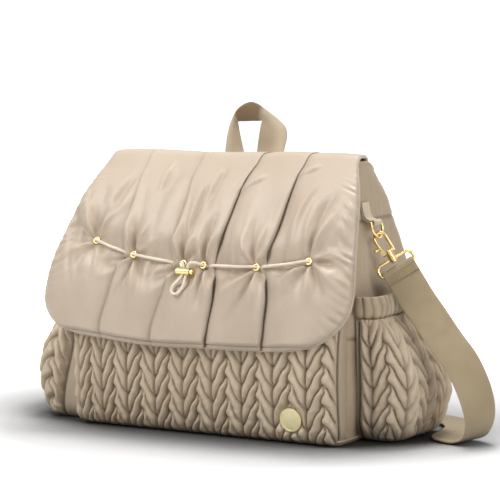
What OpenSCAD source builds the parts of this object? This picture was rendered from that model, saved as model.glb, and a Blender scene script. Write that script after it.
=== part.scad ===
// Quilted nappy bag with a gathered flap, drawn up by a cord with a push stopper,
// two elastic side pockets, a haul loop and a clip-on webbing strap.
// Millimetres. The origin is the middle of the base on the floor, +Z up, front towards -Y.

/* [Body] */
// Height of the top rim of the body
body_h = 285; // [270:1:310]
// Width of the body at the base
base_w = 324; // [310:1:332]
// Width of the body at its widest, the belly
belly_w = 340; // [334:1:348]
// Width of the body at the rim
rim_w = 292; // [280:1:300]
// Height of the belly above the floor
belly_z = 120; // [100:1:140]
// Distance of the front face from the middle, at the base
front_d = 66; // [60:1:72]
// Distance of the front face from the middle, at the rim
front_rim_d = 12; // [8:1:18]
// Distance of the back face from the middle, at the base
back_d = 86; // [80:1:92]
// Distance of the back face from the middle, at the rim
back_rim_d = 38; // [36:1:40]
// Thickness of the padded wall
wall_t = 6; // [4:0.5:8]
// Corner radius of the body seen from above
corner_r = 20; // [16:1:26]

/* [Base and back] */
// Thickness of the base panel
base_t = 4; // [3:0.5:6]
// Thickness of the stiff board that lies in the bag
board_t = 3; // [2:0.5:4]
// Clearance round the board
board_gap = 4; // [3:0.5:8]
// Thickness of the padded back panel
back_t = 8; // [6:0.5:10]
// Width of the back panel
back_w = 250; // [200:5:260]
// Height of the lower edge of the back panel
back_low_z = 24; // [16:1:40]

/* [Front pocket] */
// Width of the front pocket
pocket_w = 330; // [316:1:336]
// Height of the mouth of the front pocket
pocket_h = 150; // [140:1:160]
// Depth of the front pocket at its fullest
pocket_d = 26; // [24:1:30]
// How much the front pocket draws in at its top and bottom
pocket_draw = 6; // [3:0.5:8]
// Thickness of the quilted pocket wall
pocket_wall = 5; // [3:0.5:6]
// Corner radius of the front pocket
pocket_r = 9; // [7:0.5:9.5]

/* [Side pockets] */
// Height of the quilted part of a side pocket
side_h = 136; // [124:1:142]
// How far a side pocket stands out at its fullest
side_out = 60; // [52:1:62]
// How far a side pocket stands out at the base
side_base_out = 48; // [42:1:52]
// How far a side pocket stands out under its elastic band
side_neck_out = 24; // [21:1:26]
// Height of the fullest part of a side pocket
side_full_z = 52; // [44:1:60]
// Distance of the front edge of a side pocket from the middle
side_front_d = 54; // [48:1:56]
// Distance of the back edge of a side pocket from the middle
side_back_d = 64; // [58:1:68]
// Radius of the outer corners of a side pocket seen from above
side_corner_r = 20; // [16:1:24]
// Thickness of the side pocket wall
side_wall = 5; // [3:0.5:6]
// Height of the elastic band
band_h = 24; // [18:1:28]
// Thickness of the gathered elastic band
band_t = 4; // [3:0.5:5]

/* [Flap] */
// Width of the flap along its ridge
flap_top_w = 296; // [286:1:304]
// Width of the flap near its lower edge
flap_low_w = 396; // [380:2:404]
// Height of the lower edge of the flap
flap_low_z = 93; // [86:1:104]
// Radius of the lower corners of the flap
flap_corner_r = 44; // [34:1:50]
// Thickness of the flap at a seam
flap_t = 6; // [5:0.5:7]
// How far the padding swells between the pleats
puff = 6; // [3:0.5:7]
// Height of the flap ridge above the rim
ridge_rise = 11; // [9:1:14]
// How far the ridge stands in front of the rim
ridge_lead = 4; // [2:1:7]
// Clearance between the flap and the front pocket
flap_gap = 2.5; // [1.5:0.5:5]

/* [Drawcord] */
// Diameter of the drawcord
cord_d = 3.3; // [2.4:0.1:3.6]
// Height of the cord at the middle of the flap
cord_z = 183; // [175:1:192]
// How much the cord climbs towards the sides
cord_rise = 19; // [8:1:24]
// Hole of an eyelet
eyelet_hole = 4; // [3:0.1:5]
// Thickness of the rolled edge of an eyelet
eyelet_roll = 2.4; // [1.6:0.1:2.8]
// Place of the stopper across the flap, from the middle
stopper_x = -21; // [-23:1:-19]
// How far the stopper hangs below the cord
stopper_drop = 9; // [8.5:0.5:11]
// Outside diameter of the stopper
stopper_d = 8.8; // [8.2:0.2:9.6]
// Length of the stopper barrel
stopper_len = 16; // [15:0.5:19]
// Diameter of the plunger
plunger_d = 6; // [5.4:0.1:6]
// Travel of the plunger
plunger_travel = 1.8; // [1:0.1:2.2]

/* [Haul loop] */
// Place of the haul loop across the back, from the middle
loop_x = -9; // [-14:1:0]
// Height of the haul loop
loop_h = 69; // [60:1:76]
// Width of the loop across its feet
loop_w = 72; // [64:1:78]
// Width of the webbing of the loop
loop_band = 25; // [20:1:28]
// Thickness of the doubled webbing
loop_t = 4; // [3:0.5:5]

/* [Strap hardware] */
// Height of the lower end of the sewn part of the tab
tab_z = 238; // [232:1:244]
// Place of the tab, front to back
ring_y = -8; // [-12:1:0]
// Wire of the D-ring
ring_wire = 3.2; // [2.8:0.1:3.4]
// Inside width of the D-ring
ring_in_w = 20; // [19:0.5:24]
// Depth of the D-ring from bar to bow
ring_depth = 16; // [15:0.5:18]
// Width of the webbing tab
tab_w = 16; // [12:0.5:17]
// Thickness of the webbing tab
tab_t = 1.5; // [1.2:0.1:2]
// Length of the sewn part of the tab
tab_len = 18; // [14:1:24]
// Length of the free part of the tab, from the side out to the D-ring
tab_arm = 12; // [10:0.5:14]
// Wire of the snap hook
hook_wire = 3.6; // [3:0.1:3.8]
// Radius of the bow of the hook, on the middle of the wire
hook_r = 6.5; // [6.3:0.1:8]
// Height of the bow's centre above the swivel
bow_z = 24; // [23:0.5:28]
// Diameter of the swivel barrel
barrel_d = 8; // [7:0.2:9]
// Diameter of the swivel post
post_d = 4; // [3:0.1:4.4]
// Diameter of the gate pin
pin_d = 1.8; // [1.4:0.1:2]
// Wire of the strap ring
loop_wire = 3.4; // [3:0.1:4]
// How far the strap bar lies below the swivel
loop_drop = 14; // [13:0.5:18]

/* [Strap] */
// Width of the strap
strap_w = 38; // [30:1:38]
// Thickness of the strap webbing
strap_t = 2.5; // [1.6:0.1:2.6]
// Length of the sewn end of the strap below its ring
tail_len = 12; // [9:1:16]

/* [Badge] */
// Diameter of the plain round badge
badge_d = 26; // [20:1:30]
// Thickness of the badge
badge_t = 2.6; // [2:0.2:4]
// Distance of the badge's middle from the right end of the front pocket
badge_in = 54; // [44:1:70]
// Height of the middle of the badge
badge_z = 27; // [24:1:40]

/* [Clearances] */
// Gap between sewn pieces that lie against each other
seam_gap = 0.4; // [0.3:0.1:0.6]
// Gap round a pin or a post
pin_gap = 0.1; // [0.05:0.05:0.3]
// Gap round a plunger, a ring bar or a cord in its hole
run_gap = 0.3; // [0.25:0.05:0.4]

/* [Hidden] */
$fn = 48;

taupe = [0.72, 0.65, 0.56];
shade = [0.64, 0.57, 0.48];
webbing = [0.70, 0.63, 0.50];
gold = [0.86, 0.74, 0.42];
pale_gold = [0.87, 0.82, 0.57];

// Half width of the body at a height
function half_w(z) = z < belly_z
    ? base_w / 2 + (belly_w - base_w) / 2 * sin(90 * z / belly_z)
    : rim_w / 2 + (belly_w - rim_w) / 2 * cos(90 * (z - belly_z) / (body_h - belly_z));

// Front and back of the body at a height: upright below, leaning in towards the rim
front_lean_z = 100;
back_lean_z = 160;
function front_y(z) = z < front_lean_z ? -front_d
    : -front_rim_d - (front_d - front_rim_d)
        * cos(90 * (z - front_lean_z) / (body_h - front_lean_z));
function back_y(z) = z < back_lean_z ? back_d
    : back_rim_d + (back_d - back_rim_d)
        * cos(90 * (z - back_lean_z) / (body_h - back_lean_z));

// Front of the front pocket at a height: swells between its two edges
function pocket_y(z) = front_y(z) - seam_gap - pocket_d
    + pocket_draw * (1 - sin(180 * min(1, max(0, z / pocket_h))));

// How far a side pocket stands out at a height
function side_reach(z) = z < side_full_z
    ? side_base_out + (side_out - side_base_out) * sin(90 * z / side_full_z)
    : side_neck_out + (side_out - side_neck_out)
        * pow(cos(90 * min(1, (z - side_full_z) / (side_h - side_full_z))), 1.2);

// One ring of a loft: a rectangle with round corners at a height, anticlockwise from above.
// far_r is the radius of the two corners at x1, where it differs
arc_steps = 6;
function ring(x0, x1, y0, y1, r, z, far_r = 0) = let (q = far_r > 0 ? far_r : r) [
    for (c = [[x1 - q, y1 - q, 0, q], [x0 + r, y1 - r, 90, r], [x0 + r, y0 + r, 180, r], [x1 - q, y0 + q, 270, q]])
        for (k = [0 : arc_steps])
            let (a = c[2] + 90 * k / arc_steps)
            [c[0] + c[3] * cos(a), c[1] + c[3] * sin(a), z]];

// A closed solid through rings that all have the same number of points
module loft(rings, closed = false) {
    n = len(rings[0]);
    m = len(rings);
    last = closed ? m - 1 : m - 2;
    sides = [for (i = [0 : last]) for (k = [0 : n - 1])
        let (j = (i + 1) % m, l = (k + 1) % n)
        each [[i * n + k, j * n + k, j * n + l], [i * n + k, j * n + l, i * n + l]]];
    caps = closed ? [] : [[for (k = [0 : n - 1]) k], [for (k = [n - 1 : -1 : 0]) (m - 1) * n + k]];
    polyhedron(points = [for (r = rings) each r], faces = concat(sides, caps), convexity = 8);
}

// A closed sheet between an outer and an inner grid of points, rows by columns
module sheet(outer, inner) {
    rows = len(outer);
    cols = len(outer[0]);
    all_rows = [for (i = [0 : rows - 1])
        concat(outer[i], [for (k = [cols - 1 : -1 : 0]) inner[i][k]])];
    n = 2 * cols;
    sides = [for (i = [0 : rows - 2]) for (k = [0 : n - 1])
        let (l = (k + 1) % n)
        each [[i * n + k, (i + 1) * n + k, (i + 1) * n + l], [i * n + k, (i + 1) * n + l, i * n + l]]];
    ends = [for (i = [0, rows - 1]) for (k = [0 : cols - 2])
        let (a = i * n + k, b = i * n + k + 1, c = i * n + n - 2 - k, d = i * n + n - 1 - k)
        each (i == 0 ? [[a, b, c], [a, c, d]] : [[a, c, b], [a, d, c]])];
    polyhedron(points = [for (r = all_rows) each r], faces = concat(sides, ends), convexity = 10);
}

// Smooth curve through points, with a number of steps from each to the next
function curve(p, steps) = concat([for (i = [0 : len(p) - 2]) for (s = [0 : steps - 1])
    let (t = s / steps, a = p[max(i - 1, 0)], b = p[i], c = p[i + 1], d = p[min(i + 2, len(p) - 1)])
    b + t * (c - a) / 2 + t * t * (a - 2.5 * b + 2 * c - d / 2)
        + t * t * t * (-a / 2 + 1.5 * b - 1.5 * c + d / 2)], [p[len(p) - 1]]);
function unit(v) = v / norm(v);
function travel(p, i) = unit(p[min(i + 1, len(p) - 1)] - p[max(i - 1, 0)]);

/* Base and body */
body_floor = base_t;
function body_ring(z, inset) = ring(-half_w(z) + inset, half_w(z) - inset,
    front_y(z) + inset, back_y(z) - inset, corner_r - inset, z);

module rounded_plate(x0, x1, y0, y1, r, t) {
    linear_extrude(t) union() {
        translate([x0 + r, y0]) square([x1 - x0 - 2 * r, y1 - y0]);
        translate([x0, y0 + r]) square([x1 - x0, y1 - y0 - 2 * r]);
        for (x = [x0 + r, x1 - r]) for (y = [y0 + r, y1 - r]) translate([x, y]) circle(r);
    }
}

base_front = -pocket_y(0) - 1;
module base_panel() {
    color(shade) rounded_plate(-base_w / 2, base_w / 2, -base_front, back_d - 1, pocket_r, base_t);
}

module main_body() {
    up = 12;
    outer = [for (i = [0 : up]) body_ring(body_floor + (body_h - body_floor) * i / up, 0)];
    in_floor = body_floor + wall_t;
    inner = [for (i = [up : -1 : 0]) body_ring(in_floor + (body_h - in_floor) * i / up, wall_t)];
    color(taupe) loft(concat(outer, inner));
}

board_z = body_floor + wall_t;
module base_board() {
    inset = wall_t + board_gap;
    color(shade) translate([0, 0, board_z]) rounded_plate(-base_w / 2 + inset, base_w / 2 - inset,
        -front_d + inset, back_d - inset, corner_r - inset / 2, board_t);
}

back_top_z = body_h - 3;
module back_panel() {
    up = 14;
    across = 6;
    rows = [for (i = [0 : up]) back_low_z + (back_top_z - back_low_z) * i / up];
    xs = [for (k = [0 : across]) -back_w / 2 + back_w * k / across];
    lift = function(i, k) (i == 0 || k == 0 || k == across) ? back_t / 2 : back_t;
    color(shade) sheet(
        [for (i = [0 : up]) [for (k = [across : -1 : 0])
            [xs[k], back_y(rows[i]) + seam_gap + lift(i, k), rows[i]]]],
        [for (i = [0 : up]) [for (k = [across : -1 : 0]) [xs[k], back_y(rows[i]) + seam_gap, rows[i]]]]);
}

/* Pockets */
function pocket_ring(z, inset) = ring(-pocket_w / 2 + inset, pocket_w / 2 - inset,
    pocket_y(z) + inset, front_y(z) - seam_gap - inset, pocket_r - inset, z);

module front_pocket() {
    up = 9;
    in_floor = base_t + pocket_wall;
    outer = [for (i = [0 : up]) pocket_ring(base_t + (pocket_h - base_t) * i / up, 0)];
    inner = [for (i = [up : -1 : 0])
        pocket_ring(in_floor + (pocket_h - in_floor) * i / up, pocket_wall)];
    color(taupe) loft(concat(outer, inner));
}

side_seam_r = 6;
side_low = 0.5;
// The outer corners are no rounder than the depth of the pocket lets them be
function side_ring(z, inset, reach) = ring(half_w(z) + seam_gap + inset, half_w(z) + reach - inset,
    -side_front_d + inset, side_back_d - inset, max(0.5, side_seam_r - inset), z,
    min(side_corner_r, reach - side_seam_r - 1) - inset);

module side_pocket() {
    up = 10;
    in_floor = side_low + side_wall;
    outer = [for (i = [0 : up]) let (z = side_low + (side_h - side_low) * i / up)
        side_ring(z, 0, side_reach(z))];
    inner = [for (i = [up : -1 : 0]) let (z = in_floor + (side_h - in_floor) * i / up)
        side_ring(z, side_wall, side_reach(z))];
    color(taupe) loft(concat(outer, inner));
}

module elastic_band() {
    up = 2;
    low = side_h;
    outer = [for (i = [0 : up]) side_ring(low + band_h * i / up, 0, side_neck_out)];
    inner = [for (i = [up : -1 : 0]) side_ring(low + band_h * i / up, band_t, side_neck_out)];
    color(shade) loft(concat(outer, inner), closed = true);
}

/* Flap: a profile from the seam over the ridge and down the front, swept across */
hinge_y = back_rim_d - 5;
hinge_z = body_h + seam_gap + 0.2;
ridge_y = -front_rim_d - ridge_lead;
ridge_z = body_h + ridge_rise;
low_y = pocket_y(flap_low_z) - flap_gap;
crown = 9;
top_steps = 6;
front_steps = 18;
// A place on the inside of the flap: 0 at the seam, 1 at the ridge, 2 at the lower edge
function flap_line(v) = v < 1
    ? [hinge_y + (ridge_y - hinge_y) * v, hinge_z + (ridge_z - hinge_z) * v + crown * sin(180 * v)]
    : [ridge_y + (low_y - ridge_y) * sin(90 * (v - 1)), ridge_z + (flap_low_z - ridge_z) * (v - 1)];
function flap_out(v) = let (a = flap_line(max(v - 0.04, 0)), b = flap_line(min(v + 0.04, 2)), d = unit(b - a))
    [d[1], -d[0]];
function flap_half(v) = v < 1 ? rim_w / 2 + (flap_top_w - rim_w) / 2 * v
    : let (z = flap_line(v)[1], t = v - 1, rise = flap_low_z + flap_corner_r - z,
        w = flap_top_w / 2 + (flap_low_w - flap_top_w) / 2 * sin(90 * min(1, t / 0.78)))
        rise <= 0 ? w : w - flap_corner_r + sqrt(max(0, pow(flap_corner_r, 2) - pow(rise, 2)));
// Pleats across the flap, as shares of its half width
pleats = [-1, -0.72, -0.32, 0.10, 0.50, 1];
function panel(s, i = 0) = s <= pleats[i + 1] || i == len(pleats) - 2 ? i : panel(s, i + 1);
function swell(s) = let (i = panel(s), f = (s - pleats[i]) / (pleats[i + 1] - pleats[i]))
    pow(max(0, sin(180 * f)), 0.6);
function cord_height(x) = cord_z + cord_rise * pow(abs(x) / 150, 2.6);
cinch = 0.3;
// Full thickness of the flap at a place across and along it
function flap_thick(s, v) = v < 1 ? flap_t / 2 + (flap_t / 2 + puff * swell(s) * v) * v
    : let (off = (flap_line(v)[1] - cord_height(s * flap_half(v))) / 22)
        flap_t + puff * swell(s) * (1 - (1 - cinch) * exp(-off * off)) * (v > 1.95 ? 0.5 : 1);
function flap_point(s, v, off) = let (p = flap_line(v), n = flap_out(v))
    [s * flap_half(v), p[0] + off * n[0], p[1] + off * n[1]];

module flap() {
    sub = 5;
    cols = concat([for (i = [0 : len(pleats) - 2]) for (k = [0 : sub - 1])
        pleats[i] + (pleats[i + 1] - pleats[i]) * k / sub], [1]);
    rows = concat([for (i = [0 : top_steps - 1]) i / top_steps],
        [for (i = [0 : front_steps]) 1 + i / front_steps]);
    color(taupe) sheet([for (v = rows) [for (s = cols) flap_point(s, v, flap_thick(s, v))]],
        [for (v = rows) [for (s = cols) flap_point(s, v, 0)]]);
}

/* Drawcord, its eyelets and its stopper */
function front_v(z) = 1 + (ridge_z - z) / (ridge_z - flap_low_z);
function on_flap(x, lift) = let (v = front_v(cord_height(x)))
    flap_point(x / flap_half(v), v, flap_t + cinch * puff + lift);
// Places of the eyelets, as shares of half the width of the ridge
eyelet_shares = [-0.966, -0.624, -0.189, -0.020, 0.426, 0.848];
eyelet_xs = [for (s = eyelet_shares) s * flap_top_w / 2];
eyelet_r = eyelet_hole / 2 + eyelet_roll / 2;
cord_lift = eyelet_roll / 2 + run_gap + cord_d / 2;
function tilt_at(z) = let (n = flap_out(front_v(z))) atan2(-n[0], n[1]);

module eyelets() {
    color(gold) for (x = eyelet_xs)
        translate(on_flap(x, 0)) rotate([tilt_at(cord_height(x)), 0, 0])
            rotate_extrude() translate([eyelet_r, 0]) circle(d = eyelet_roll, $fn = 24);
}

stopper_lift = stopper_d / 2 + eyelet_roll / 2 + run_gap;
stopper_z = cord_height(stopper_x) - stopper_drop;
stopper_at = let (v = front_v(stopper_z))
    flap_point(stopper_x / flap_half(v), v, flap_t + cinch * puff + stopper_lift);
stopper_tilt = tilt_at(stopper_z) - 90;
cord_side = 2.4;
cord_hole_d = cord_d + 2 * run_gap;
// A place given in the stopper's own frame, x along it and up along the flap
function at_stopper(x, out, up) = stopper_at
    + [x, -out * cos(stopper_tilt) - up * sin(stopper_tilt), -out * sin(stopper_tilt) + up * cos(stopper_tilt)];
// The cord turns round the stopper in steps that go with the stopper's size
bend = stopper_len / 16;
cord_out = 1.2 * stopper_len;
runs = 8;
function cord_run(from, to) = [for (k = [0 : runs]) on_flap(from + (to - from) * k / runs, cord_lift)];
cord_points = concat(
    cord_run(eyelet_xs[0] - eyelet_hole, stopper_x - cord_out),
    [at_stopper(-11 * bend, 0, 8 * bend), at_stopper(-5.5 * bend, 0, 11 * bend)],
    [for (up = [8, 4, -4, -8]) at_stopper(-cord_side, 0, up * bend)],
    [at_stopper(-9 * bend, 0, -15 * bend), at_stopper(-10 * bend, 0, -22 * bend), at_stopper(-4 * bend, 0, -27 * bend),
        at_stopper(3 * bend, 0, -22 * bend), at_stopper(cord_side + bend, 0, -14 * bend)],
    [for (up = [-8, -4, 4, 8]) at_stopper(cord_side, 0, up * bend)],
    [at_stopper(5.5 * bend, 0, 11 * bend), at_stopper(11 * bend, 0, 8 * bend)],
    cord_run(stopper_x + cord_out, eyelet_xs[5] + eyelet_hole / 2));

// A round tube along points that lie in or near one upright plane
module tube(points, d, sides) {
    loft([for (i = [0 : len(points) - 1])
        let (t = travel(points, i), w = unit(cross([0, 1, 0.2], t)), n = cross(t, w))
        [for (k = [0 : sides - 1]) points[i]
            + d / 2 * (cos(360 * k / sides) * w + sin(360 * k / sides) * n)]]);
}

module drawcord() {
    color(taupe) tube(curve(cord_points, 3), cord_d, 8);
}

plunger_end = cord_side + cord_hole_d / 2 + 0.6;
bore_end = plunger_end + plunger_travel + run_gap;
module stopper_frame() {
    translate(stopper_at) rotate([stopper_tilt, 0, 0]) children();
}

module stopper_body() {
    color(gold) stopper_frame() difference() {
        translate([-stopper_len / 2 - 1, 0, 0]) rotate([0, 90, 0]) cylinder(d = stopper_d, h = stopper_len);
        translate([-bore_end, 0, 0]) rotate([0, 90, 0])
            cylinder(d = plunger_d + 2 * run_gap, h = stopper_len + bore_end);
        for (x = [-cord_side, cord_side]) translate([x, 0, -stopper_d])
            cylinder(d = cord_hole_d, h = 2 * stopper_d);
    }
}

button_r = stopper_d / 2 - 0.6;
module stopper_button() {
    mouth = stopper_len / 2 - 1;
    neck = mouth + plunger_travel + run_gap;
    slot = cord_hole_d;
    color(gold) stopper_frame() {
        difference() {
            translate([-plunger_end, 0, 0]) rotate([0, 90, 0]) cylinder(d = plunger_d, h = plunger_end + neck);
            translate([-cord_side - cord_hole_d / 2, -slot / 2, -plunger_d])
                cube([2 * cord_side + cord_hole_d + plunger_travel, slot, 2 * plunger_d]);
        }
        translate([neck, 0, 0]) rotate([0, 90, 0]) cylinder(r = button_r, h = 2.2);
    }
}

/* Haul loop: doubled webbing that stands on the top edge of the back panel */
handle_z = back_top_z + seam_gap;
handle_y = back_rim_d + seam_gap + back_t / 2;
// Each foot is rolled about the line on which the loop folds down
fold_z = handle_z + loop_t / 2;
loop_taper = 9;
handle_top_r = loop_w / 2 - loop_taper;
handle_in_r = handle_top_r - 0.68 * loop_band;
foot_in = loop_w / 2 - loop_band;
module carry_handle() {
    crown_z = loop_h - handle_top_r - loop_t / 2;
    color(webbing) translate([loop_x, handle_y, fold_z]) {
        translate([0, loop_t / 2, 0]) rotate([90, 0, 0]) linear_extrude(loop_t) difference() {
            union() {
                translate([0, crown_z]) circle(handle_top_r);
                polygon([[-loop_w / 2, 0], [loop_w / 2, 0], [handle_top_r, crown_z], [-handle_top_r, crown_z]]);
            }
            translate([0, crown_z]) circle(handle_in_r);
            polygon([[-foot_in, -1], [foot_in, -1], [handle_in_r, crown_z], [-handle_in_r, crown_z]]);
        }
        for (x = [-loop_w / 2, foot_in]) translate([x, 0, 0]) rotate([0, 90, 0])
            cylinder(d = loop_t, h = loop_band);
    }
}

/* Clip-on hardware, drawn for the right side and mirrored for the left */
// Lean of the clipped hook away from the body, and its turn about its own length, in degrees
hook_lean = 36;
hook_turn = 30;
// The tab is sewn flat on the sloping side of the body, at the slope of its own middle,
// and its free part stands out and holds the bar of the D-ring in a roll
tab_bore = ring_wire + 2 * run_gap;
tab_roll = tab_bore + 2 * tab_t;
tab_droop = 35;
tab_mid_z = tab_z + tab_len / 2;
side_slope = atan2(half_w(tab_mid_z - 1) - half_w(tab_mid_z + 1), 2);
tab_at = [half_w(tab_mid_z) + seam_gap + tab_len / 2 * tan(side_slope), ring_y, tab_z];
roll_x = tab_t + tab_arm * cos(tab_droop);
roll_z = tab_t - tab_arm * sin(tab_droop);
bar_at = tab_at + [roll_x * cos(side_slope) - roll_z * sin(side_slope), 0,
    roll_x * sin(side_slope) + roll_z * cos(side_slope)];
hang = 15;

module d_ring_tab() {
    color(webbing) translate(tab_at) rotate([0, -side_slope, 0])
        translate([0, tab_w / 2, 0]) rotate([90, 0, 0]) linear_extrude(tab_w) difference() {
            union() {
                square([2 * tab_t, tab_len]);
                translate([tab_t, tab_t]) circle(tab_t);
                translate([tab_t, tab_t]) rotate(-tab_droop) translate([0, -tab_t]) square([tab_arm, 2 * tab_t]);
                translate([roll_x, roll_z]) circle(d = tab_roll);
            }
            translate([roll_x, roll_z]) circle(d = tab_bore);
        }
}

module d_ring() {
    r = ring_in_w / 2 + ring_wire / 2;
    straight = ring_depth - r;
    color(gold) translate(bar_at) rotate([0, -hang, 0]) {
        translate([0, r, 0]) rotate([90, 0, 0]) cylinder(d = ring_wire, h = 2 * r);
        for (y = [-r, r]) {
            translate([0, y, -straight]) cylinder(d = ring_wire, h = straight);
            translate([0, y, 0]) sphere(d = ring_wire);
        }
        translate([0, 0, -straight]) rotate([0, 90, 0]) rotate([0, 0, -90])
            rotate_extrude(angle = 180) translate([r, 0]) circle(d = ring_wire);
    }
}

// The bow of the D-ring lies a little above the centre of the hook's bow
bow_at = bar_at + ring_depth * [sin(hang), 0, -cos(hang)];
nest = 2.1;
swivel_at = bow_at - (bow_z + nest) * [-sin(hook_lean), 0, cos(hook_lean)];
module hook_frame() {
    translate(swivel_at) rotate([0, -hook_lean, 0]) rotate([0, 0, hook_turn]) children();
}

boss_h = 4;
post_gap = 0.5;
gate_x = -hook_r + 0.8;
gate_z = 9.5;
gate_boss_d = 4.8;
lug_t = 1.2;
gate_half = 1.7;
nose_z = bow_z - 3;
module hook_body() {
    head = post_d + 2.6;
    lug_in = gate_half + run_gap;
    color(gold) hook_frame() difference() {
        union() {
            translate([0, 0, post_gap]) cylinder(d = barrel_d, h = 7);
            translate([0, 0, post_gap + 4]) cylinder(d = barrel_d + 1.4, h = 1.6);
            translate([0, 0, -boss_h - post_gap - 0.2]) cylinder(d = post_d, h = boss_h + post_gap + 2);
            translate([0, 0, -boss_h - post_gap - 1.4]) cylinder(d = head, h = 1.4);
            translate([0, 0, gate_z - 2]) rotate([0, 90, 0]) cylinder(d = hook_wire, h = hook_r);
            translate([hook_r, 0, gate_z - 2]) sphere(d = hook_wire);
            translate([hook_r, 0, gate_z - 2]) cylinder(d = hook_wire, h = bow_z - gate_z + 2);
            translate([0, 0, bow_z]) rotate([90, 0, 0])
                rotate_extrude(angle = 180) translate([hook_r, 0]) circle(d = hook_wire);
            translate([-hook_r, 0, nose_z]) cylinder(d = hook_wire, h = bow_z - nose_z);
            for (y = [-lug_in - lug_t, lug_in]) translate([gate_x, y, gate_z]) {
                rotate([-90, 0, 0]) cylinder(d = gate_boss_d, h = lug_t);
                translate([0, 0, -gate_z + post_gap + 4.4]) cube([-gate_x, lug_t, 3]);
                translate([-gate_boss_d / 2, 0, -gate_z + post_gap + 4.4])
                    cube([gate_boss_d, lug_t, gate_z - post_gap - 4.4]);
            }
        }
        translate([gate_x, lug_in + lug_t + 1, gate_z]) rotate([90, 0, 0])
            cylinder(d = pin_d, h = 2 * (lug_in + lug_t + 1));
        translate([gate_x - gate_boss_d, -lug_in, gate_z - gate_boss_d / 2 - run_gap])
            cube([gate_boss_d * 1.6, 2 * lug_in, gate_boss_d + 2]);
    }
}

module gate_pin() {
    reach = gate_half + run_gap + lug_t;
    color(gold) hook_frame() translate([gate_x, reach, gate_z]) rotate([90, 0, 0])
        cylinder(d = pin_d, h = 2 * reach);
}

gate_d = 3.2;
module hook_gate() {
    top = nose_z - run_gap;
    lean = atan2(-hook_r - gate_x, top - gate_z);
    color(gold) hook_frame() translate([gate_x, 0, gate_z]) difference() {
        union() {
            translate([0, gate_half, 0]) rotate([90, 0, 0]) cylinder(d = gate_boss_d, h = 2 * gate_half);
            intersection() {
                rotate([0, lean, 0]) cylinder(d = gate_d, h = top - gate_z + 4);
                translate([-20, -20, 0]) cube([40, 40, top - gate_z]);
            }
            translate([-4.6, 0, 5]) rotate([0, 90, 0]) cylinder(d = 3, h = 4.4);
            translate([-5.6, 0, 5]) sphere(d = 4.2);
        }
        translate([0, gate_half + 1, 0]) rotate([90, 0, 0])
            cylinder(d = pin_d + 2 * pin_gap, h = 2 * gate_half + 2);
    }
}

bar_half = strap_w / 2 + loop_wire / 2 + run_gap;
module strap_ring() {
    r = loop_wire / 2;
    boss_d = post_d + 5.4;
    low_bend = 2.5;
    top_bend = 6;
    // The arms end inside the wall of the boss
    wall_at = boss_d / 2 - 1.3;
    leg_low = low_bend - loop_drop;
    leg_top = -boss_h / 2 - top_bend;
    color(gold) hook_frame() difference() {
        union() {
            translate([0, 0, -boss_h]) cylinder(d = boss_d, h = boss_h);
            translate([low_bend - bar_half, 0, -loop_drop]) rotate([0, 90, 0])
                cylinder(r = r, h = 2 * (bar_half - low_bend));
            for (m = [0, 1]) mirror([m, 0, 0]) {
                translate([bar_half - low_bend, 0, leg_low]) rotate([90, 0, 0]) rotate([0, 0, -90])
                    rotate_extrude(angle = 90) translate([low_bend, 0]) circle(r);
                translate([bar_half, 0, leg_low]) cylinder(r = r, h = leg_top - leg_low);
                translate([bar_half - top_bend, 0, leg_top]) rotate([90, 0, 0])
                    rotate_extrude(angle = 90) translate([top_bend, 0]) circle(r);
                translate([wall_at, 0, -boss_h / 2]) rotate([0, 90, 0])
                    cylinder(r = r, h = bar_half - top_bend - wall_at);
            }
        }
        translate([0, 0, -boss_h - 1]) cylinder(d = post_d + 2 * pin_gap, h = boss_h + 2);
    }
}

module strap_end() {
    bore = loop_wire + 2 * run_gap;
    color(webbing) hook_frame() translate([-strap_w / 2, 0, -loop_drop]) rotate([90, 0, 90])
        linear_extrude(strap_w) difference() {
            union() {
                circle(d = bore + 2 * strap_t);
                translate([-strap_t, -tail_len]) square([2 * strap_t, tail_len]);
            }
            circle(d = bore);
        }
}

/* Strap: webbing from ring to ring, down to the floor on the right and round behind the bag */
lie = 2;
strap_pull = [sin(hook_lean), 0, -cos(hook_lean)];
strap_start = swivel_at + (loop_drop + tail_len + run_gap) * strap_pull;
function other_side(p) = [-p[0], p[1], p[2]];
face = [cos(hook_turn) * cos(hook_lean), sin(hook_turn), cos(hook_turn) * sin(hook_lean)];
// Each row is a place on the route and the direction of the strap's width there
strap_route = [
    [strap_start, face],
    [strap_start + 14 * strap_pull, face],
    [strap_start + 30 * strap_pull, face],
    [[237, -9, 135], face],
    [[256, -10, 112], face],
    [[275, -10, 90], face],
    [[287, -8, 66], [0.72, 0.58, 0.36]],
    [[292, -3, 43], [0.62, 0.75, 0.22]],
    [[290, 3, 24], [0.45, 0.88, 0.10]],
    [[281, 9, 9], [0.30, 0.95, 0.02]],
    [[266, 13, lie + 0.5], [0.2, 0.98, 0]],
    [[250, 17, lie], [0.2, 0.98, 0]],
    [[240, 30, lie], [0.5, 0.86, 0]],
    [[236, 56, lie], [0.92, 0.38, 0]],
    [[222, 94, lie], [0.86, 0.5, 0]],
    [[190, 120, lie], [0.6, 0.8, 0]],
    [[120, 138, lie], [0.1, 0.99, 0]],
    [[0, 140, lie], [0, 1, 0]],
    [[-120, 138, lie], [0, 1, 0]],
    [[-206, 130, lie + 2], [-0.1, 0.99, 0]],
    [[-242, 108, 22], [-0.4, 0.9, 0.1]],
    [[-254, 76, 58], [-0.5, 0.72, 0.48]],
    [[-252, 40, 96], [-0.56, 0.6, 0.57]],
    [[-240, 8, 128], [-0.66, 0.5, 0.53]],
    [other_side(strap_start + 30 * strap_pull), other_side(face)],
    [other_side(strap_start + 14 * strap_pull), other_side(face)],
    [other_side(strap_start), other_side(face)]];
route_steps = 3;

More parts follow.
